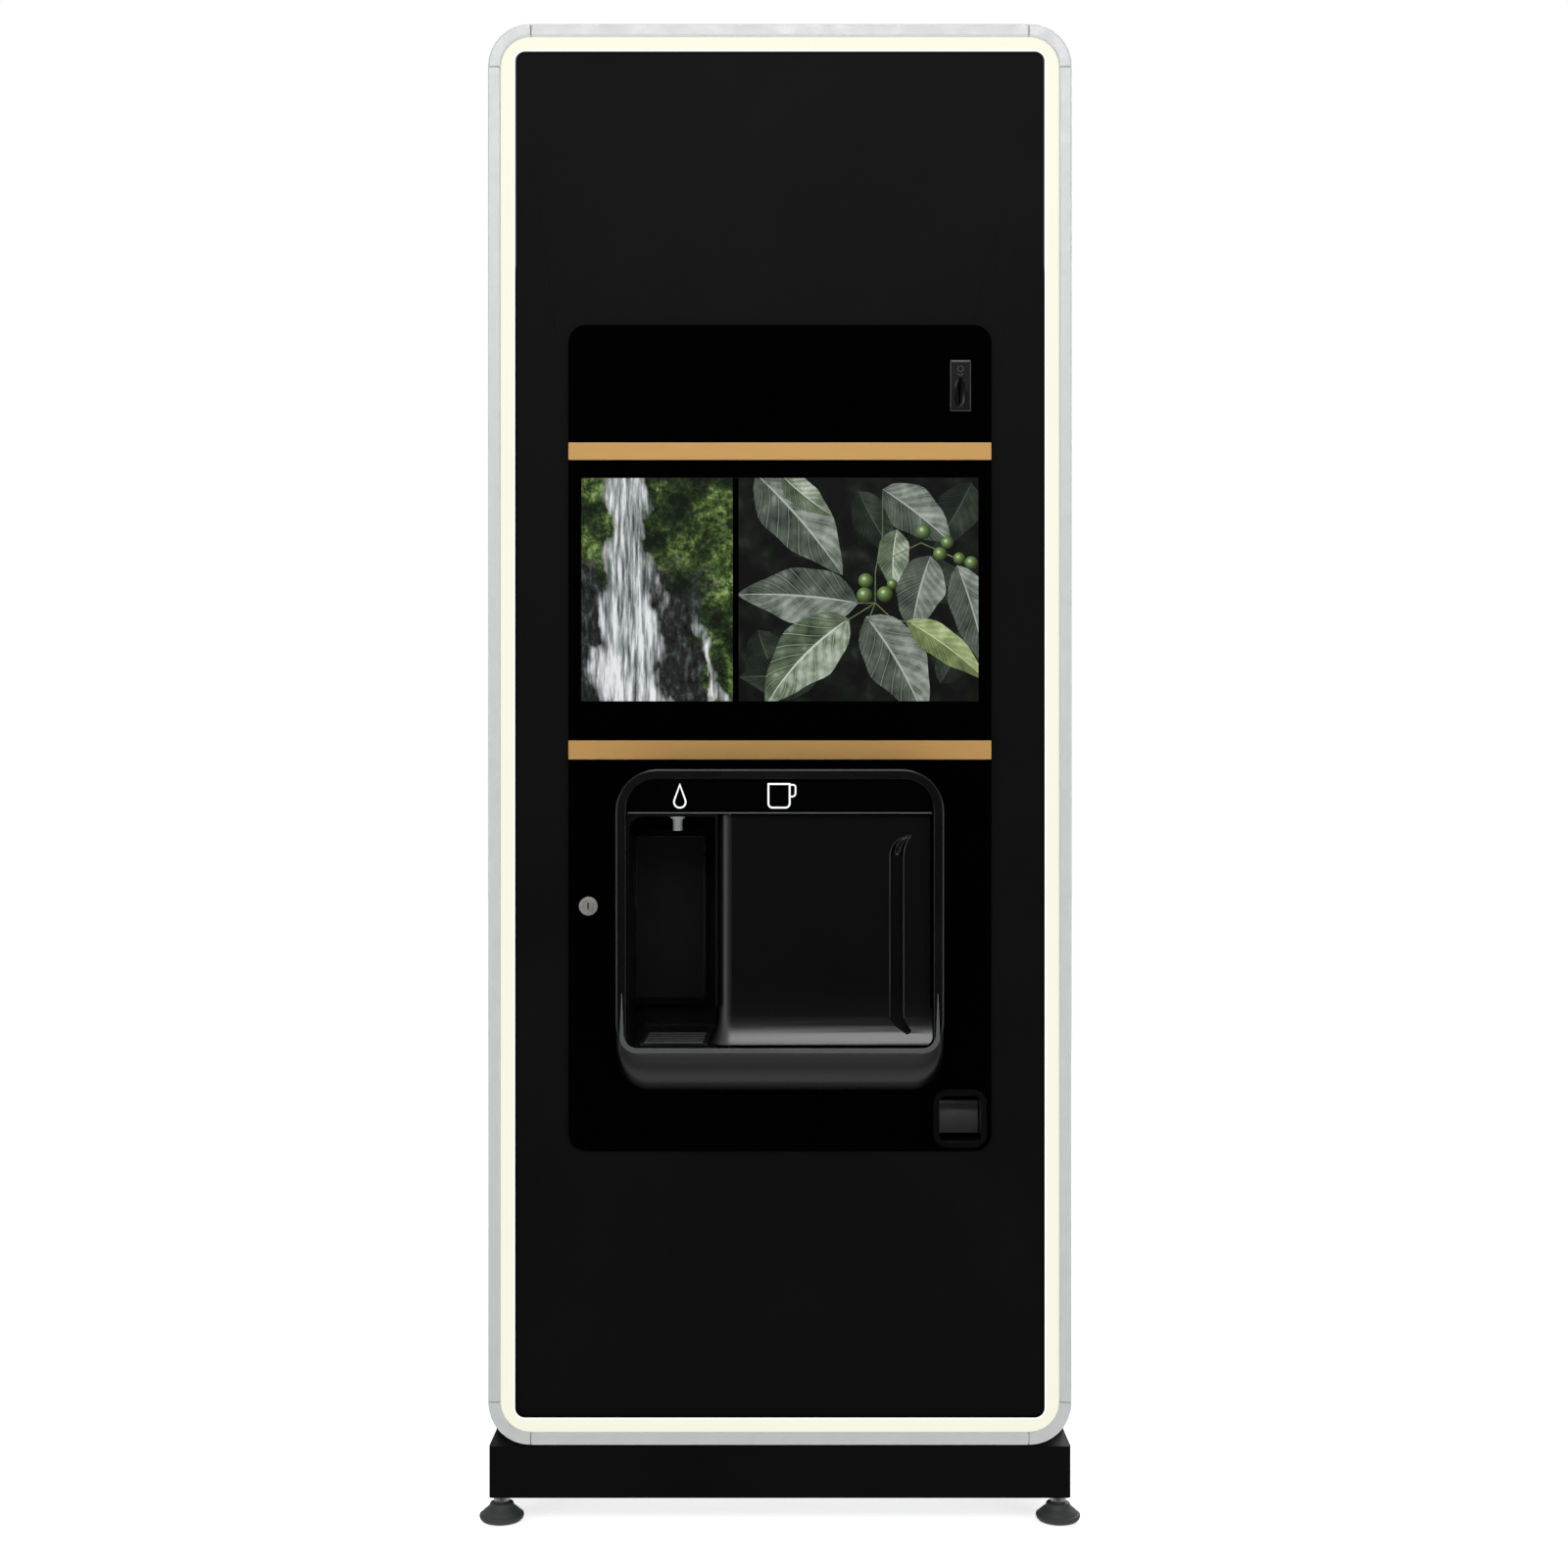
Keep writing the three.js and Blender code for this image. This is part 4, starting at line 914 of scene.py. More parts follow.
def water_mask(graph, u, v):
    """A broad fall that widens downwards, and a thin one to the right of its foot."""
    wander = graph.calc("SUBTRACT", graph.noise(38.0, detail=4.0, stretch=(1, 1, 0.5)), 0.5)
    moved = graph.calc("ADD", u, graph.calc("MULTIPLY", wander, 0.42))
    fall = graph.calc("SUBTRACT", 1.0, v)
    spread = graph.calc("MULTIPLY_ADD", fall, 0.14, 0.13)
    middle = graph.calc("MULTIPLY_ADD", fall, 0.02, 0.30)
    stream = near_line(graph, moved, middle, spread, 0.07)
    side_middle = graph.calc("MULTIPLY_ADD", fall, 0.62, 0.33)
    thin = near_line(graph, moved, side_middle, 0.035, 0.03)
    lower = graph.remap(fall, 0, 1, 0.60, 0.66)
    return graph.calc("MAXIMUM", stream, graph.calc("MULTIPLY", thin, lower))


def waterfall_material():
    material, graph, shader = new_material("picture_waterfall")
    u, v = picture_coordinates(graph, SCREEN_LEFT, DIVIDE_LEFT)
    threads = graph.noise(190.0, detail=7.0, stretch=(1, 1, 0.10), roughness=0.62)
    water = graph.ramp(threads, [
        (0.34, (0.055, 0.062, 0.062)),
        (0.47, (0.30, 0.325, 0.325)),
        (0.60, (0.78, 0.80, 0.80)),
    ])
    show_lit(graph, shader, graph.mix(water_mask(graph, u, v), banks(graph, u, v), water))
    return material


def dusk_material():
    material, graph, shader = new_material("picture_shade")
    show_lit(graph, shader, graph.ramp(graph.noise(34.0, detail=2.0), [
        (0.42, (0.0012, 0.0016, 0.0012)),
        (0.60, (0.006, 0.008, 0.006)),
        (0.72, (0.020, 0.026, 0.019)),
    ]))
    return material


def leaf_material(name, shade, body, light):
    """A leaf with a pale midrib and side veins; U runs along it and V across it."""
    material, graph, shader = new_material(name)
    spot = graph.split("UV")
    along, over = spot["X"], spot["Y"]
    off = graph.calc("MULTIPLY", graph.calc("ABSOLUTE", graph.calc("SUBTRACT", over, 0.5)), 2.0)
    sweep = graph.calc("MULTIPLY", graph.calc("POWER", off, 0.8), 2.2)
    swept = graph.calc("SUBTRACT", graph.calc("MULTIPLY", along, 9.0), sweep)
    cell = graph.calc("FRACT", graph.calc("ADD", swept, 3.0))
    ridge = graph.calc("ABSOLUTE", graph.calc("SUBTRACT", cell, 0.5))
    quilt = graph.calc("SINE", graph.calc("MULTIPLY", cell, math.pi))
    half = graph.calc("MULTIPLY", graph.calc("GREATER_THAN", over, 0.5), 0.20)
    grain = graph.calc("MULTIPLY_ADD", graph.noise(42.0, detail=5.0), 0.95, -0.17)
    level = graph.calc("ADD", graph.calc("MULTIPLY_ADD", quilt, 0.16, half), grain)
    tissue = graph.ramp(level, [(0.18, shade), (0.52, body), (0.86, light)])
    side_vein = graph.remap(ridge, 0, 0.55, 0.455, 0.495)
    midrib = graph.remap(off, 0.9, 0, 0.014, 0.05)
    vein = graph.calc("MAXIMUM", side_vein, midrib)
    pale = graph.colour(*[min(1.0, c * 1.05 + 0.02) for c in light])
    show_lit(graph, shader, graph.mix(vein, tissue, pale))
    return material


def cherry_material():
    """A round berry, lit from the upper left."""
    material, graph, shader = new_material("picture_cherry")
    reach = graph.add("VectorMath", operation="LENGTH")
    graph.feed(reach.inputs[0], graph.mapping("UV", Location=(-0.38, -0.64, 0)))
    show_lit(graph, shader, graph.ramp(reach.outputs["Value"], [
        (0.04, (0.50, 0.60, 0.42)),
        (0.16, (0.16, 0.25, 0.08)),
        (0.42, (0.055, 0.095, 0.025)),
        (0.66, (0.008, 0.014, 0.004)),
    ]))
    return material


def leaf(bm, uv, base, angle, length, width, bend, y):
    """A pointed leaf laid flat in the picture, curving to one side along its length."""
    steps, sides = 16, 4
    rows = []
    spot = Vector(base)
    for i in range(steps + 1):
        t = i / steps
        wide = width / 2 * math.sin(math.pi * t ** 0.82) ** 0.85 * (1 - 0.25 * t)
        wave = 1 + 0.05 * math.sin(t * 17 + angle)
        turn = math.radians(angle) + math.radians(bend) * (t - 0.3)
        along = Vector((math.cos(turn), math.sin(turn)))
        side = Vector((-along.y, along.x))
        row = []
        for j in range(-sides, sides + 1):
            point = spot + side * (wide * wave * j / sides)
            row.append((bm.verts.new((point.x, y, point.y)), (t, 0.5 + 0.5 * j / sides)))
        rows.append(row)
        spot = spot + along * (length / steps)
    for row, following in zip(rows, rows[1:]):
        for j in range(2 * sides):
            corners = (row[j], row[j + 1], following[j + 1], following[j])
            face = bm.faces.new([vert for vert, _ in corners])
            for loop, (_, at) in zip(face.loops, corners):
                loop[uv].uv = at


def cherry(bm, uv, centre, radius, y):
    """A flat disc; its material makes it look round."""
    rim = circle(20)
    outline = [(centre[0] + radius * c, centre[1] + radius * s) for c, s in rim]
    face = bm.faces.new(at_depth(bm, outline, y))
    for loop, (c, s) in zip(face.loops, rim):
        loop[uv].uv = (0.5 + 0.5 * c, 0.5 + 0.5 * s)


def trim_to_picture(bm):
    """Cuts away whatever reaches past the edges of the right-hand picture."""
    for point, normal in (
        ((DIVIDE_RIGHT, 0, 0), (-1, 0, 0)),
        ((SCREEN_RIGHT, 0, 0), (1, 0, 0)),
        ((0, 0, SCREEN_BOTTOM), (0, 0, -1)),
        ((0, 0, SCREEN_TOP), (0, 0, 1)),
    ):
        everything = bm.verts[:] + bm.edges[:] + bm.faces[:]
        bmesh.ops.bisect_plane(bm, geom=everything, plane_co=point, plane_no=normal, clear_outer=True)


# Leaves of the right-hand picture: where each starts, in hundredths of the picture's width and
# height, its heading, then its length and width in hundredths of the picture's width, and its bend.
LEAVES = {
    "dim": [
        (8, 32, -68, 32, 21, 20), (32, 8, 172, 32, 20, 20), (97, 98, -118, 32, 20, -15),
        (50, 94, -62, 30, 18, 10), (70, 62, -28, 34, 20, 12), (84, 8, 62, 28, 15, 10),
    ],
    "grey": [
        (50, 44, 174, 51, 27, 12), (7, 102, -47, 56, 29, -14), (60, 95, -36, 37, 22, -14),
        (80, 65, -106, 33, 23, 14), (91, 61, -72, 46, 20, -14), (53, 38, -57, 50, 28, -20),
    ],
    "bright": [(46, 37, -138, 51, 28, 26), (66, 77, -96, 25, 15, 16), (18, 101, -40, 27, 13, 10)],
    "lime": [(70, 36, -34, 42, 15, -16)],
}
LEAF_TONES = {
    "dim": ((0.002, 0.003, 0.002), (0.012, 0.018, 0.012), (0.045, 0.060, 0.045)),
    "grey": ((0.010, 0.015, 0.011), (0.090, 0.112, 0.090), (0.38, 0.425, 0.385)),
    "bright": ((0.012, 0.022, 0.009), (0.11, 0.150, 0.090), (0.56, 0.62, 0.53)),
    "lime": ((0.030, 0.045, 0.014), (0.20, 0.26, 0.10), (0.50, 0.58, 0.32)),
    "stem": ((0.05, 0.07, 0.03), (0.16, 0.20, 0.09), (0.34, 0.38, 0.20)),
}
# The berries' places and radii, and the lines of the twigs, in the same measures.
CHERRIES = [
    (53, 54, 3.1), (52.5, 47.5, 3.3), (61, 48, 3.3), (64, 52.5, 2.2), (77, 76, 3.1),
    (84, 66, 2.9), (87, 71, 2.7), (92, 64, 2.5), (97, 62, 2.8),
]
STEMS = [
    [(60, 93), (60, 74), (57, 58), (57, 44)],
    [(57, 44), (49, 44)],
    [(57, 44), (64, 37), (72, 35)],
    [(59, 62), (76, 71), (99, 60)],
    [(57, 44), (45, 36)],
    [(57, 44), (54, 36)],
]
HUNDREDTH = (SCREEN_RIGHT - DIVIDE_RIGHT) / 100


def in_picture(x, z):
    """A place in the right-hand picture, given in hundredths of its width and height."""
    return DIVIDE_RIGHT + x * HUNDREDTH, SCREEN_BOTTOM + z / 100 * (SCREEN_TOP - SCREEN_BOTTOM)


def depth_of(layer):
    """How far back a layer of the pictures lies; higher layers stand further forward."""
    return SCREEN_LOW.y - layer * LAYER


def add_grounds():
    """The waterfall on the left, and the dark ground behind the leaves on the right."""
    for name, left, right, material in (
        ("picture_left", SCREEN_LEFT, DIVIDE_LEFT, waterfall_material()),
        ("picture_right", DIVIDE_RIGHT, SCREEN_RIGHT, dusk_material()),
    ):
        bm = bmesh.new()
        outline = rounded(left, right, SCREEN_BOTTOM, SCREEN_TOP, 0.4 * MM, 2)
        slab(bm, outline, depth_of(1), depth_of(0))
        add_piece(bm, name, material, DOOR, smooth=False)


def add_leaves(layer):
    """Lays each leaf one layer in front of the last, and returns the next free layer."""
    for tone, leaves in LEAVES.items():
        bm = bmesh.new()
        uv = bm.loops.layers.uv.new("along")
        for x, z, angle, length, width, bend in leaves:
            base, long, wide = in_picture(x, z), length * HUNDREDTH, width * HUNDREDTH
            leaf(bm, uv, base, angle, long, wide, bend, depth_of(layer))
            layer += 1
        trim_to_picture(bm)
        material = leaf_material(f"leaf_{tone}", *LEAF_TONES[tone])
        add_piece(bm, f"picture_leaves_{tone}", material, DOOR)
    return layer


def add_pictures():
    add_grounds()
    layer = add_leaves(2)
    bm = bmesh.new()
    for line in STEMS:
        points = [in_picture(*point) for point in line]
        stroke(bm, points, 1.3 * MM, depth_of(layer + 1), depth_of(layer))
    trim_to_picture(bm)
    material = leaf_material("leaf_stem", *LEAF_TONES["stem"])
    add_piece(bm, "picture_stems", material, DOOR, smooth=False)
    bm = bmesh.new()
    uv = bm.loops.layers.uv.new("along")
    for x, z, radius in CHERRIES:
        cherry(bm, uv, in_picture(x, z), radius * HUNDREDTH, depth_of(layer + 2))
    add_piece(bm, "picture_cherries", cherry_material(), DOOR)


# ---------------------------------------------------------------- feet and seals

# Radius and height along the foot's rubber pad, from its underside up.
FOOT_PAD = [
    (0, 0), (0.0160, 0), (0.0205, 0.0004), (0.0238, 0.0016), (0.0262, 0.0040), (0.0271, 0.0064),
    (0.0272, 0.0078), (0.0268, 0.0090), (0.0256, 0.0096), (0.0246, 0.0099), (0.0240, 0.0108),
    (0.0222, 0.0130), (0.0190, 0.0156), (0.0165, 0.0176), (0.0150, 0.0196), (0.0146, 0.0214),
    (0.0140, 0.0226), (0.0128, 0.0231), (0, 0.0231),
]


def threaded_stud(foot, start, top):
    """Profile of a stud that is threaded from a little above its foot to its top."""
    root, crest, pitch = 0.0088, 0.0099, 1.75 * MM
    profile = [(0, foot), (root, foot)]
    height = start
    while height < top - pitch:
        profile += [(root, height), (crest, height + pitch / 2)]
        height += pitch
    return profile + [(root, top), (0, top)]


def add_feet():
    """Rubber pads and threaded studs; the pads stand in for the plain feet of the CAD model."""
    for corner in ("front_left", "front_right", "rear_left", "rear_right"):
        node = f"levelling_foot_{corner}"
        low, high = box_of(node)
        middle = middle_of(low, high)
        bm = bmesh.new()
        turned(bm, FOOT_PAD, middle, 72)
        pad = add_piece(bm, f"foot_pad_{corner}", RUBBER, f"foot_{corner}")
        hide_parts(node)
        bm = bmesh.new()
        turned(bm, threaded_stud(0.0225, 0.0250, high.z), middle, 40)
        add_piece(bm, f"foot_stud_{corner}", STUD_STEEL, f"foot_{corner}")


def add_gasket():
    """Rubber seal on the back of the door, just inside the mouth of the cabinet."""
    back = box_of("cabinet_floor")[0].y - 1.5 * MM
    shoulder = back - 3 * MM

    def outline(inset):
        side, low, high = 0.320 - inset, 0.108 + inset, 1.804 - inset
        return rounded(-side, side, low, high, 0.034 - inset, 8)

    outer, crown_outer, crown_inner, inner = (outline(inset * MM) for inset in (0, 2.5, 8.5, 11))
    rows = ((outer, LINER_BACK), (outer, shoulder), (crown_outer, back), (crown_inner, back),
            (inner, shoulder), (inner, LINER_BACK))
    bm = bmesh.new()
    skin(bm, [at_depth(bm, line, y) for line, y in rows], closed=True)
    add_piece(bm, "door_gasket", RUBBER, DOOR)


# ---------------------------------------------------------------- back, sides and top

BACK_HIGH = box_of("back_panel")[1]
REAR = BACK_HIGH.y
SIDE = box_of("right_side_panel")[1].x
BACKWARDS, FORWARDS, UP = (0, 1, 0), (0, -1, 0), (0, 0, 1)


def louvre(bm, centre, length, reach, side=None):
    """A pressed louvre that stands out by reach, on the back, or on a side when side is -1 or 1."""
    half, height = length / 2, 9 * MM
    section = ((0, -height / 2), (1, -height / 2 + height * 0.15), (0.8, 0), (0, height / 2))
    rows = []
    for along, full in ((-half, 0), (-half + height, 1), (half - height, 1), (half, 0)):
        row = []
        for out, up in section:
            level, z = reach * out * full, centre[1] + up
            if side is None:
                row.append(bm.verts.new((centre[0] + along, REAR + level, z)))
            else:
                row.append(bm.verts.new((side * (SIDE + level), centre[0] + along, z)))
        rows.append(row)
    for row, following in zip(rows, rows[1:]):
        for j in range(3):
            bm.faces.new((row[j], row[j + 1], following[j + 1], following[j]))


def add_louvres():
    """Three fields of louvres on the back and one on each side."""
    pitch = 17 * MM
    bm = bmesh.new()
    for x, low in ((-0.17, 0.40), (0.17, 0.40), (0.17, 1.46)):
        for k in range(13):
            louvre(bm, (x, low + pitch * k), 0.22, 2.2 * MM)
    add_piece(bm, "back_louvres", CABINET_STEEL, CABINET, smooth=False)
    for name, side in (("left", -1), ("right", 1)):
        bm = bmesh.new()
        for k in range(11):
            louvre(bm, (0.26, 0.22 + pitch * k), 0.15, 0.9 * MM, side)
        add_piece(bm, f"side_louvres_{name}", CABINET_STEEL, CABINET, smooth=False)


def add_turned(name, body, material, profile, spots, axis, sides):
    """A piece of equal turned bodies, one at each spot."""
    bm = bmesh.new()
    for spot in spots:
        turned_along(bm, profile, spot, axis, sides)
    add_piece(bm, name, material, body)


def add_fan_guard():
    """Wire rings on four spokes over a black disc that paints the shade of the opening, with the fan's hub
    behind them.
    """
    x, z, opening, corner = -0.17, 1.565, 0.064, 0.058
    centre = Vector((x, REAR, z))
    wire, stand = 0.9 * MM, 1.3 * MM
    section = [(math.cos(a * math.pi / 4), math.sin(a * math.pi / 4)) for a in range(9)]
    bm = bmesh.new()
    for ring in (0.014, 0.026, 0.038, 0.050, 0.062):
        profile = [(ring + wire * c, stand + wire * s) for c, s in section]
        turned_along(bm, profile, centre, BACKWARDS, 56)
    bmesh.ops.remove_doubles(bm, verts=bm.verts, dist=0.00001)
    for k in range(4):
        angle = math.pi / 4 + k * math.pi / 2
        reach = Vector((math.cos(angle), 0, math.sin(angle)))
        start = centre + Vector((0, 1.0 * MM, 0))
        pipe(bm, [start + reach * 0.010, start + reach * 0.066], wire, sides=10)
    add_piece(bm, "fan_guard", CHROME, CABINET)
    # A thin black disc on the back panel: painted shade in place of the dark opening behind the guard.
    bm = bmesh.new()
    slab(bm, list(arc(x, z, opening, 0, 354, 59)), REAR, REAR + 0.25 * MM)
    add_piece(bm, "fan_opening_painted_shade", GLASS_BLACK, CABINET, smooth=False)
    hub = [(0, 0), (0.0215, 0), (0.0210, 0.0005), (0, 0.0006)]
    add_turned("fan_hub", CABINET, GREY, hub, [centre], BACKWARDS, 40)
    spots = [(x + dx, REAR, z + dz) for dx in (-corner, corner) for dz in (-corner, corner)]
    add_screws("fan_screws", CABINET, spots, BACKWARDS)


def add_back_cover():
    """A screwed cover, a blank plate, and the screws round the back panel."""
    left, right, low, high, inset = -0.290, 0.290, 0.690, 1.370, 0.018
    face = REAR + 1.2 * MM
    bm = bmesh.new()
    slab(bm, rounded(left, right, low, high, 0.012, 6), REAR, face)
    add_piece(bm, "rear_cover", CABINET_STEEL, CABINET, edge=0.5)
    xs = (left + inset, (left + right) / 2, right - inset)
    zs = (low + inset, (low + high) / 2, high - inset)
    spots = [(x, face, z) for x in xs for z in zs if (x, z) != (xs[1], zs[1])]
    add_screws("rear_cover_screws", CABINET, spots, BACKWARDS, height=1.0 * MM)
    side = BACK_HIGH.x - 0.014
    edge = [(x, REAR, 0.125 + 0.21 * k) for x in (-side, side) for k in range(8)]
    edge += [(x, REAR, z) for x in (-0.2, 0, 0.2) for z in (0.115, 1.808)]
    add_screws("rear_screws", CABINET, edge, BACKWARDS)
    bm = bmesh.new()
    slab(bm, rounded(-0.262, -0.158, 0.178, 0.242, 0.004, 4), REAR, REAR + 0.6 * MM)
    add_piece(bm, "blank_plate", STUD_STEEL, CABINET, smooth=False)
    rivets = [(x, REAR + 0.6 * MM, z) for x in (-0.257, -0.163) for z in (0.183, 0.237)]
    add_screws("plate_rivets", CABINET, rivets, BACKWARDS, 0.0020, 0.0010)


def add_side_details():
    """Screws down both sides, and plugs over the lifting points of the top."""
    for name, side in (("left", -1), ("right", 1)):
        spots = [(side * SIDE, y, 0.14 + 0.262 * k) for y in (-0.250, 0.364) for k in range(7)]
        axis = (side, 0, 0)
        add_screws(f"side_screws_{name}", CABINET, spots, axis, 0.0042, 0.9 * MM, CABINET_STEEL)
    top = box_of("top_cover")[1].z
    plug = [(0, 0), (0.0125, 0), (0.0120, 0.0009), (0.0090, 0.0014), (0, 0.0016)]
    spots = [(x, y, top) for x in (-0.26, 0.26) for y in (-0.19, 0.30)]
    add_turned("lifting_plugs", CABINET, BAY_PLASTIC, plug, spots, UP, 32)


def add_inlet_details():
    """The three pins of the mains inlet."""
    low, high = box_of("mains_inlet")
    x, z = (low.x + high.x) / 2, (low.z + high.z) / 2
    half_x, half_z = 1 * MM, 2.2 * MM
    back = low.y + 8 * MM
    pins = []
    for dx, dz in ((-6.5 * MM, -1 * MM), (6.5 * MM, -1 * MM), (0, 3.2 * MM)):
        start = (x + dx - half_x, back, z + dz - half_z)
        pins.append((start, (x + dx + half_x, back + 15 * MM, z + dz + half_z)))
    add_blocks("mains_pins", CABINET, NICKEL, pins, edge=0.3)


# ---------------------------------------------------------------- inside the cabinet


def add_cup_stacks():
    """Six stacks of cups standing in the turret, each with its rolled rims one over another."""
    middle = middle_of(*box_of("cup_turret"))
    ring, body, rim, neck, pitch = 0.076, 0.0370, 0.0378, 0.0340, 0.0105
    foot, first, top = 1.3065, 1.3075, 1.6880
    profile = [(neck, foot)]
    height = first
    while height < top:
        steps = ((body, 0), (rim, 0.0008), (rim, 0.0024), (body, 0.0032))
        profile += [(radius, height + step) for radius, step in steps]
        height += pitch
    profile.append((neck, height))
    bm = bmesh.new()
    for k in range(6):
        angle = k * math.pi / 3 - math.pi / 2
        centre = (middle[0] + ring * math.cos(angle), middle[1] + ring * math.sin(angle))
        turned(bm, profile, centre, 26)
    add_piece(bm, "cup_stacks", PAPER, "turret")


def add_canister_fittings():
    """Dosing knob, lid grip and two bands on each ingredient canister."""
    knob = [
        (0, 0), (0.020, 0), (0.022, 0.002), (0.022, 0.010), (0.018, 0.014), (0.010, 0.014),
        (0.010, 0.019), (0, 0.020),
    ]
    knobs, grips, bands = [], [], []
    for node in ("canister_left", "canister_right"):
        low, high = box_of(node)
        x = (low.x + high.x) / 2
        knobs.append((x, low.y + 0.0421, 1.420))
        grips.append(((x - 0.030, 0.030, high.z), (x + 0.030, 0.046, high.z + 0.009)))
        bands += [((x - 0.0485, -0.0955, z), (x + 0.0485, 0.2055, z + 0.004)) for z in (1.330, 1.500)]
    add_turned("dosing_knobs", CABINET, GREY, knob, knobs, FORWARDS, 32)
    add_blocks("canister_grips", CABINET, GREY, grips, edge=2.5, segments=3)
    add_blocks("canister_bands", CABINET, IVORY, bands, edge=1.2)


def add_pipes():
    """Boiler and pump lines in copper, drink tubes in silicone, and the water feed in brass."""
    hot = [
        ([(0.200, 0.250, 1.210), (0.200, 0.250, 1.245), (0.020, 0.250, 1.245), (0.020, 0.058, 1.245),
          (0.020, 0.058, 1.200)], 0.0042, 0.024),
        ([(0.270, 0.112, 0.966), (0.270, 0.150, 0.966), (0.236, 0.250, 0.966),
          (0.225, 0.250, 0.966)], 0.0042, 0.018),
    ]
    drink = []
    for node, y, tip in (("mixer_left", 0.232, 0.060), ("mixer_right", 0.268, 0.068)):
        low, high = box_of(node)
        x = (low.x + high.x) / 2
        inlet = x + 0.024
        hot.append(([(0.200, y, 1.190), (inlet, y, 1.190), (inlet, 0.020, 1.190),
                     (inlet, -0.052, 1.225), (inlet, -0.092, 1.245)], 0.0038, 0.022))
        outlet = low.y + 0.042
        drink.append(([(x, outlet, low.z + 0.006), (x, outlet, 1.040), (tip, outlet, 0.985),
                       (tip, outlet, 0.945)], 0.0065, 0.030))
    drink.append(([(-0.020, -0.010, 0.962), (-0.020, -0.052, 0.962), (0.052, -0.095, 0.962),
                   (0.052, -0.118, 0.945)], 0.0055, 0.020))
    feed = [([(0.200, 0.345, 0.200), (0.200, 0.300, 0.200), (0.200, 0.300, 0.560),
              (0.280, 0.300, 0.640), (0.280, 0.300, 0.920)], 0.0060, 0.040)]
    for name, material, slot, routes in (
        ("hot_pipes", COPPER, "nickel", hot),
        ("drink_tubes", SILICONE, "ivory_plastic", drink),
        ("water_feed", BRASS, "nickel", feed),
    ):
        bm = bmesh.new()
        for points, radius, corner in routes:
            pipe(bm, points, radius, corner)
        add_piece(bm, name, material, CABINET)


def add_boiler_details():
    """Three straps round the boiler, its valve and its drain plug."""
    low, high = box_of("boiler")
    centre = middle_of(low, high)
    shell, strap = 0.0662, 0.0682
    bm = bmesh.new()
    for z in (0.985, 1.060, 1.135):
        turned(bm, [(shell, z), (strap, z + 0.001), (strap, z + 0.011), (shell, z + 0.012)], centre)
    add_piece(bm, "boiler_straps", STUD_STEEL, CABINET)
    valve = [(0, 0), (0.009, 0), (0.009, 0.010), (0.006, 0.013), (0.006, 0.022), (0, 0.022)]
    drain = [(0, 0), (0.011, 0), (0.011, 0.012), (0, 0.014)]
    bm = bmesh.new()
    turned_along(bm, valve, (centre[0] - 0.030, centre[1], 1.192), UP, 20)
    turned_along(bm, drain, (centre[0], low.y - 0.001, 1.020), FORWARDS, 6)
    add_piece(bm, "boiler_fittings", BRASS, CABINET)


def add_brewer_details():
    """The brewer's two guide rods, its screws and the motor behind it."""
    rod = [(0, 0), (0.005, 0), (0.005, 0.222), (0, 0.222)]
    spots = [(x, 0.0, 0.9585) for x in (-0.070, 0.030)]
    add_turned("brewer_rods", CABINET, CHROME, rod, spots, UP, 20)
    front = box_of("brew_unit")[0].y
    spots = [(x, front, z) for x in (-0.080, 0.040) for z in (1.186, 1.198)]
    add_screws("brewer_screws", CABINET, spots, FORWARDS, 0.0032)
    motor = [
        ((-0.048, 0.0665, 1.060), (0.008, 0.118, 1.150)),
        ((-0.042, 0.0665, 1.150), (0.002, 0.108, 1.160)),
    ]
    add_blocks("brewer_motor", CABINET, BAY_PLASTIC, motor, edge=3.0, segments=3)


def key_grid(left, low, size, pitch, back, front, columns, rows):
    """Equal blocks in rows and columns; size and pitch are each a width and a height."""
    keys = []
    for i in range(columns):
        for j in range(rows):
            x, z = left + pitch[0] * i, low + pitch[1] * j
            keys.append(((x, back, z), (x + size[0], front, z + size[1])))
    return keys


def add_control_details():
    """Lid, vents, keys, lamps and screws of the control box."""
    low, high = box_of("control_box")
    lid = low.y - 0.004
    plate = [((low.x + 0.008, lid, low.z + 0.010), (high.x - 0.008, low.y, high.z - 0.010))]
    add_blocks("control_lid", CABINET, IVORY, plate, edge=1.5)
    left = low.x + 0.030
    vent = (high.x - 0.070 - left, 0.004)
    vents = key_grid(left, low.z + 0.030, vent, (0, 0.009), lid - 0.0006, lid, 1, 9)
    add_blocks("control_vents", CABINET, BAY_PLASTIC, vents, edge=0.2)
    keys = key_grid(left, 1.090, (0.013, 0.013), (0.018, 0.018), lid - 0.003, lid, 4, 4)
    add_blocks("control_keys", CABINET, BAY_PLASTIC, keys, edge=1.2)
    lamp = [(0, 0), (0.0032, 0), (0.0028, 0.0022), (0, 0.0034)]
    for name, material, z in (("green", LAMP_GREEN, 1.150), ("amber", LAMP_AMBER, 1.132)):
        spots = [(high.x - 0.040, lid, z)]
        add_turned(f"lamp_{name}", CABINET, material, lamp, spots, FORWARDS, 20)
    xs, zs = (low.x + 0.016, high.x - 0.016), (low.z + 0.018, high.z - 0.018)
    add_screws("control_screws", CABINET, [(x, lid, z) for x in xs for z in zs], FORWARDS)


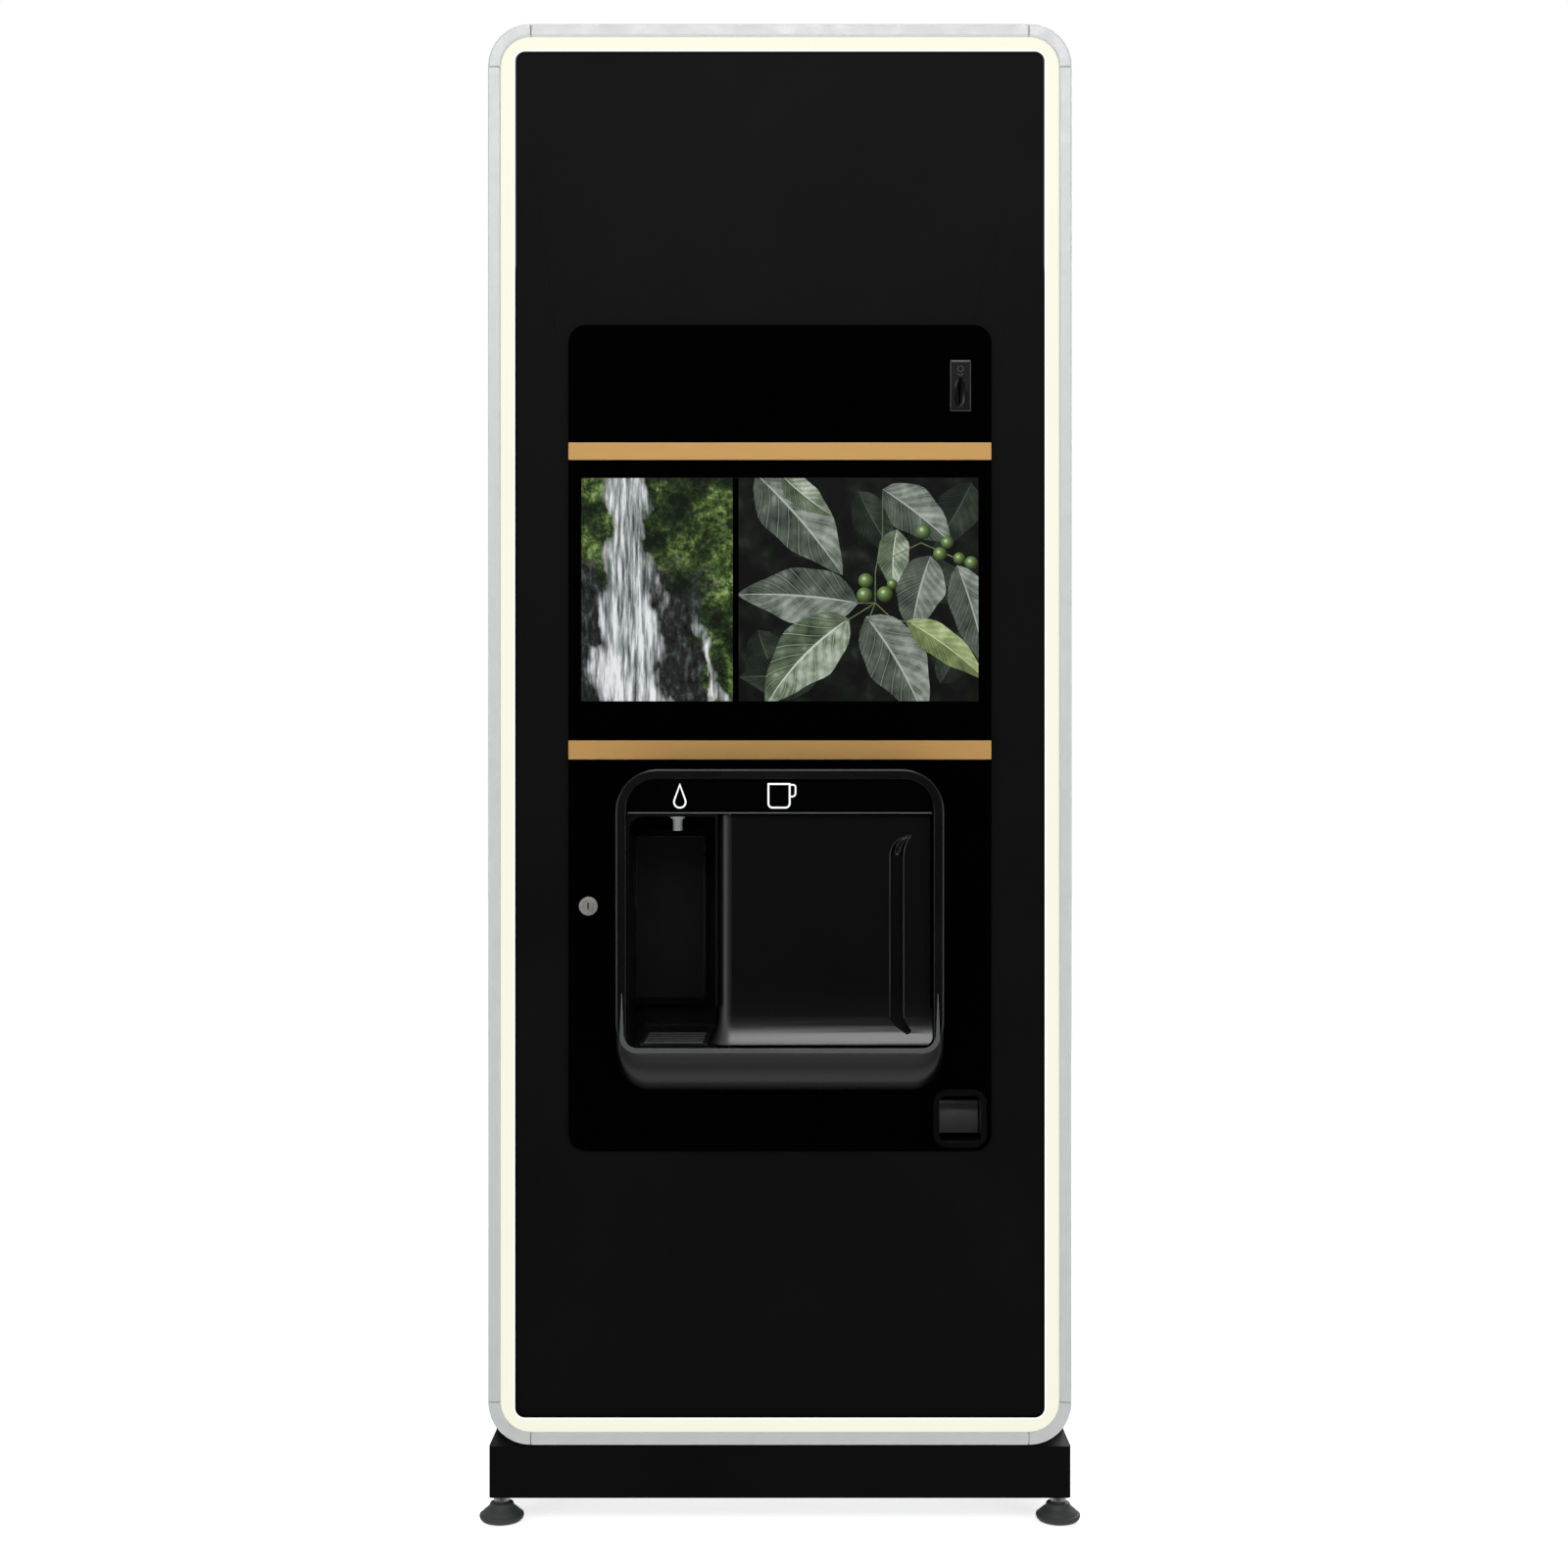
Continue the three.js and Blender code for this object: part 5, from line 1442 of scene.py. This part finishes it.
def add_wiring_duct():
    """Slotted cable duct up the left wall."""
    left, front, low, high, count = -0.3528, 0.020, 0.935, 1.270, 24
    pitch = (high - low) / count
    fingers = [((left, front, low), (left + 0.004, front + 0.040, high))]
    for k in range(count):
        z = low + k * pitch
        for y in (front, front + 0.037):
            fingers.append(((left + 0.0035, y, z), (left + 0.030, y + 0.003, z + pitch * 0.62)))
    fingers.append(((left + 0.0295, front - 0.0005, low), (left + 0.033, front + 0.0405, high)))
    add_blocks("wiring_duct", CABINET, GREY, fingers, edge=0.5)


def add_beans():
    """Roasted beans heaped in the hopper."""
    draw_from = random.Random(7)
    middle = middle_of(*box_of("bean_hopper"))
    half_x, half_y, level, clear, count = 0.0925, 0.0825, 1.560, 0.005, 420
    bm = bmesh.new()
    rows = []
    for x, y, z in ((0.036, 0.036, 1.440), (half_x, half_y, 1.497), (half_x, half_y, level)):
        outline = [(middle[0] + px, middle[1] + py) for px, py in rounded(-x, x, -y, y, 0.008, 3)]
        rows.append(at_height(bm, outline, z))
    skin(bm, rows, capped=True)
    add_piece(bm, "bean_fill", BEANS, CABINET, smooth=False)
    bean = [(0, -0.0052), (0.0024, -0.0040), (0.0034, 0), (0.0024, 0.0040), (0, 0.0052)]
    bm = bmesh.new()
    for _ in range(count):
        x = draw_from.uniform(-half_x + clear, half_x - clear)
        y = draw_from.uniform(-half_y + clear, half_y - clear)
        spin, tip = draw_from.uniform(0, math.pi), draw_from.uniform(-0.5, 0.5)
        flat = math.cos(tip)
        along = Vector((math.cos(spin) * flat, math.sin(spin) * flat, math.sin(tip)))
        spot = (middle[0] + x, middle[1] + y, level + draw_from.uniform(0, 0.006))
        turned_along(bm, bean, spot, along, 7)
    add_piece(bm, "bean_heap", BEANS, CABINET)


def add_bucket_handle():
    """The waste bucket's wire handle and rolled rim."""
    low, high = box_of("waste_bucket")
    side, hinge, bend = high.x + 0.003, high.z - 0.030, high.z + 0.010
    half = [(side, hinge), (side, bend), (0.060, high.z + 0.022)]
    route = [(-x, 0, z) for x, z in half] + [(x, 0, z) for x, z in reversed(half)]
    bm = bmesh.new()
    pipe(bm, route, 0.0030, 0.03)
    add_piece(bm, "bucket_handle", CHROME, CABINET)

    def outline(grow, corner):
        return rounded(low.x - grow, high.x + grow, low.y - grow, high.y + grow, corner, 6)

    outer, inner = outline(0.003, 0.026), outline(-0.001, 0.022)
    foot, top = high.z - 0.006, high.z + 0.0015
    rows = ((outer, foot), (outer, top), (inner, top), (inner, foot))
    bm = bmesh.new()
    skin(bm, [at_height(bm, line, z) for line, z in rows], closed=True)
    add_piece(bm, "bucket_rim", GREY, CABINET)


# ---------------------------------------------------------------- back of the service door


def on_liner(left, right, low, high, proud, start=0.0):
    """A block on the door's liner that stands so far out from it."""
    return (left, LINER_BACK + start, low), (right, LINER_BACK + proud, high)


def add_service_unit():
    """The keypad with its small screen, for whoever services the machine."""
    left, low, thick = -0.262, 1.030, 0.030
    face = LINER_BACK + thick
    case = [on_liner(left, left + 0.190, low, low + 0.230, thick)]
    add_blocks("service_unit", DOOR, GREY, case, edge=4.0, segments=3)
    start = (left + 0.035, low + 0.025)
    keys = key_grid(*start, (0.022, 0.015), (0.032, 0.024), face, face + 0.003, 4, 4)
    add_blocks("service_keys", DOOR, BAY_PLASTIC, keys, edge=1.5)
    screen = [on_liner(left + 0.030, left + 0.160, low + 0.140, low + 0.205, thick + 0.0015, thick)]
    add_blocks("service_screen", DOOR, GLOSS_BLACK, screen, edge=0.5)


def add_liner_details():
    """Stiffening ribs, service unit, the light strip's driver, a wiring duct and screws."""
    ribs = [on_liner(-0.280, 0.280, z, z + 0.022, 0.0035, -0.0005) for z in (0.200, 1.640, 1.720)]
    add_blocks("liner_ribs", DOOR, GALVANISED, ribs, edge=2.5, segments=3)
    add_service_unit()
    fins = [on_liner(0.010, 0.120, 1.440, 1.590, 0.012)]
    for k in range(10):
        x = 0.013 + 0.0105 * k
        fins.append(on_liner(x, x + 0.003, 1.444, 1.586, 0.034, 0.011))
    add_blocks("strip_driver", DOOR, STUD_STEEL, fins, edge=0.6)
    low, high = 0.960, 1.420
    duct = [
        on_liner(-0.030, -0.026, low, high, 0.028),
        on_liner(0.002, 0.006, low, high, 0.028),
        on_liner(-0.031, 0.007, low, high, 0.031, 0.027),
    ]
    add_blocks("door_duct", DOOR, GREY, duct, edge=0.8)
    heights = (0.20, 0.50, 0.80, 1.10, 1.40, 1.70)
    spots = [(x, LINER_BACK, z) for x in (-0.292, 0.292) for z in heights]
    spots += [(x, LINER_BACK, z) for x in (-0.2, 0, 0.2) for z in (0.140, 1.770)]
    add_screws("liner_screws", DOOR, spots, BACKWARDS, 0.0042, 0.0024)


def coin_pile(low, height):
    """Profile of a pile of coins, each with its edges a little rounded."""
    inner, outer, thick = 0.0100, 0.0103, 0.0024
    profile = [(0, low)]
    level = low
    while level < low + height:
        steps = ((inner, 0), (outer, 0.0003), (outer, 0.0018), (inner, 0.0021))
        profile += [(radius, level + step) for radius, step in steps]
        level += thick
    return profile + [(0, level)]


def add_coin_unit_details():
    """Tubes with coins, keys and cover of the coin changer."""
    low, high = box_of("coin_changer")
    back, pitch = high.y, 0.025
    xs = [low.x + 0.020 + pitch * k for k in range(5)]
    tube = [(0, 0), (0.0112, 0), (0.0112, 0.180), (0, 0.180)]
    spots = [(x, back + 0.002, 1.085) for x in xs]
    add_turned("coin_tubes", DOOR, SMOKED, tube, spots, UP, 26)
    bm = bmesh.new()
    for x, fill in zip(xs, (0.7, 0.45, 0.85, 0.3, 0.6)):
        turned(bm, coin_pile(1.086, 0.178 * fill), (x, back + 0.002), 22)
    add_piece(bm, "coin_piles", NICKEL, DOOR)
    keys = key_grid(low.x + 0.014, 1.290, (0.014, 0.014), (pitch, 0), back, back + 0.004, 5, 1)
    add_blocks("coin_keys", DOOR, GREY, keys, edge=1.5)
    cover = [((low.x + 0.008, back, 1.325), (high.x - 0.008, back + 0.006, 1.392))]
    add_blocks("coin_cover", DOOR, DOOR_PLASTIC, cover, edge=2.5, segments=3)


def add_cash_box_details():
    """Lock and grip of the cash box."""
    low, high = box_of("cash_box")
    lock = [
        (0, 0), (0.010, 0), (0.010, 0.003), (0.008, 0.004), (0.0035, 0.004), (0.003, 0.002), (0, 0.002),
    ]
    spots = [((low.x + high.x) / 2, high.y, 0.380)]
    add_turned("cash_box_lock", DOOR, NICKEL, lock, spots, BACKWARDS, 30)
    grip = [((low.x + 0.035, high.y, 0.325), (high.x - 0.035, high.y + 0.012, 0.337))]
    add_blocks("cash_box_grip", DOOR, BAY_PLASTIC, grip, edge=3.0, segments=3)


STEPS = (
    make_camera, make_world, make_lights, make_floor, dress_nodes, add_strip_lines, add_header_marks,
    add_coin_mark, add_coin_plate_edges, add_pull_lip, add_pull_scoop, add_rim_bead, add_grille_ribs,
    add_plinth_ledge, add_seam_cleats, add_splash_face, add_pictures, add_feet, add_gasket, add_louvres,
    add_fan_guard, add_back_cover, add_side_details, add_inlet_details, add_cup_stacks,
    add_canister_fittings, add_pipes, add_boiler_details, add_brewer_details, add_control_details,
    add_wiring_duct, add_beans, add_bucket_handle, add_liner_details, add_coin_unit_details,
    add_cash_box_details,
)
for step in STEPS:
    step()
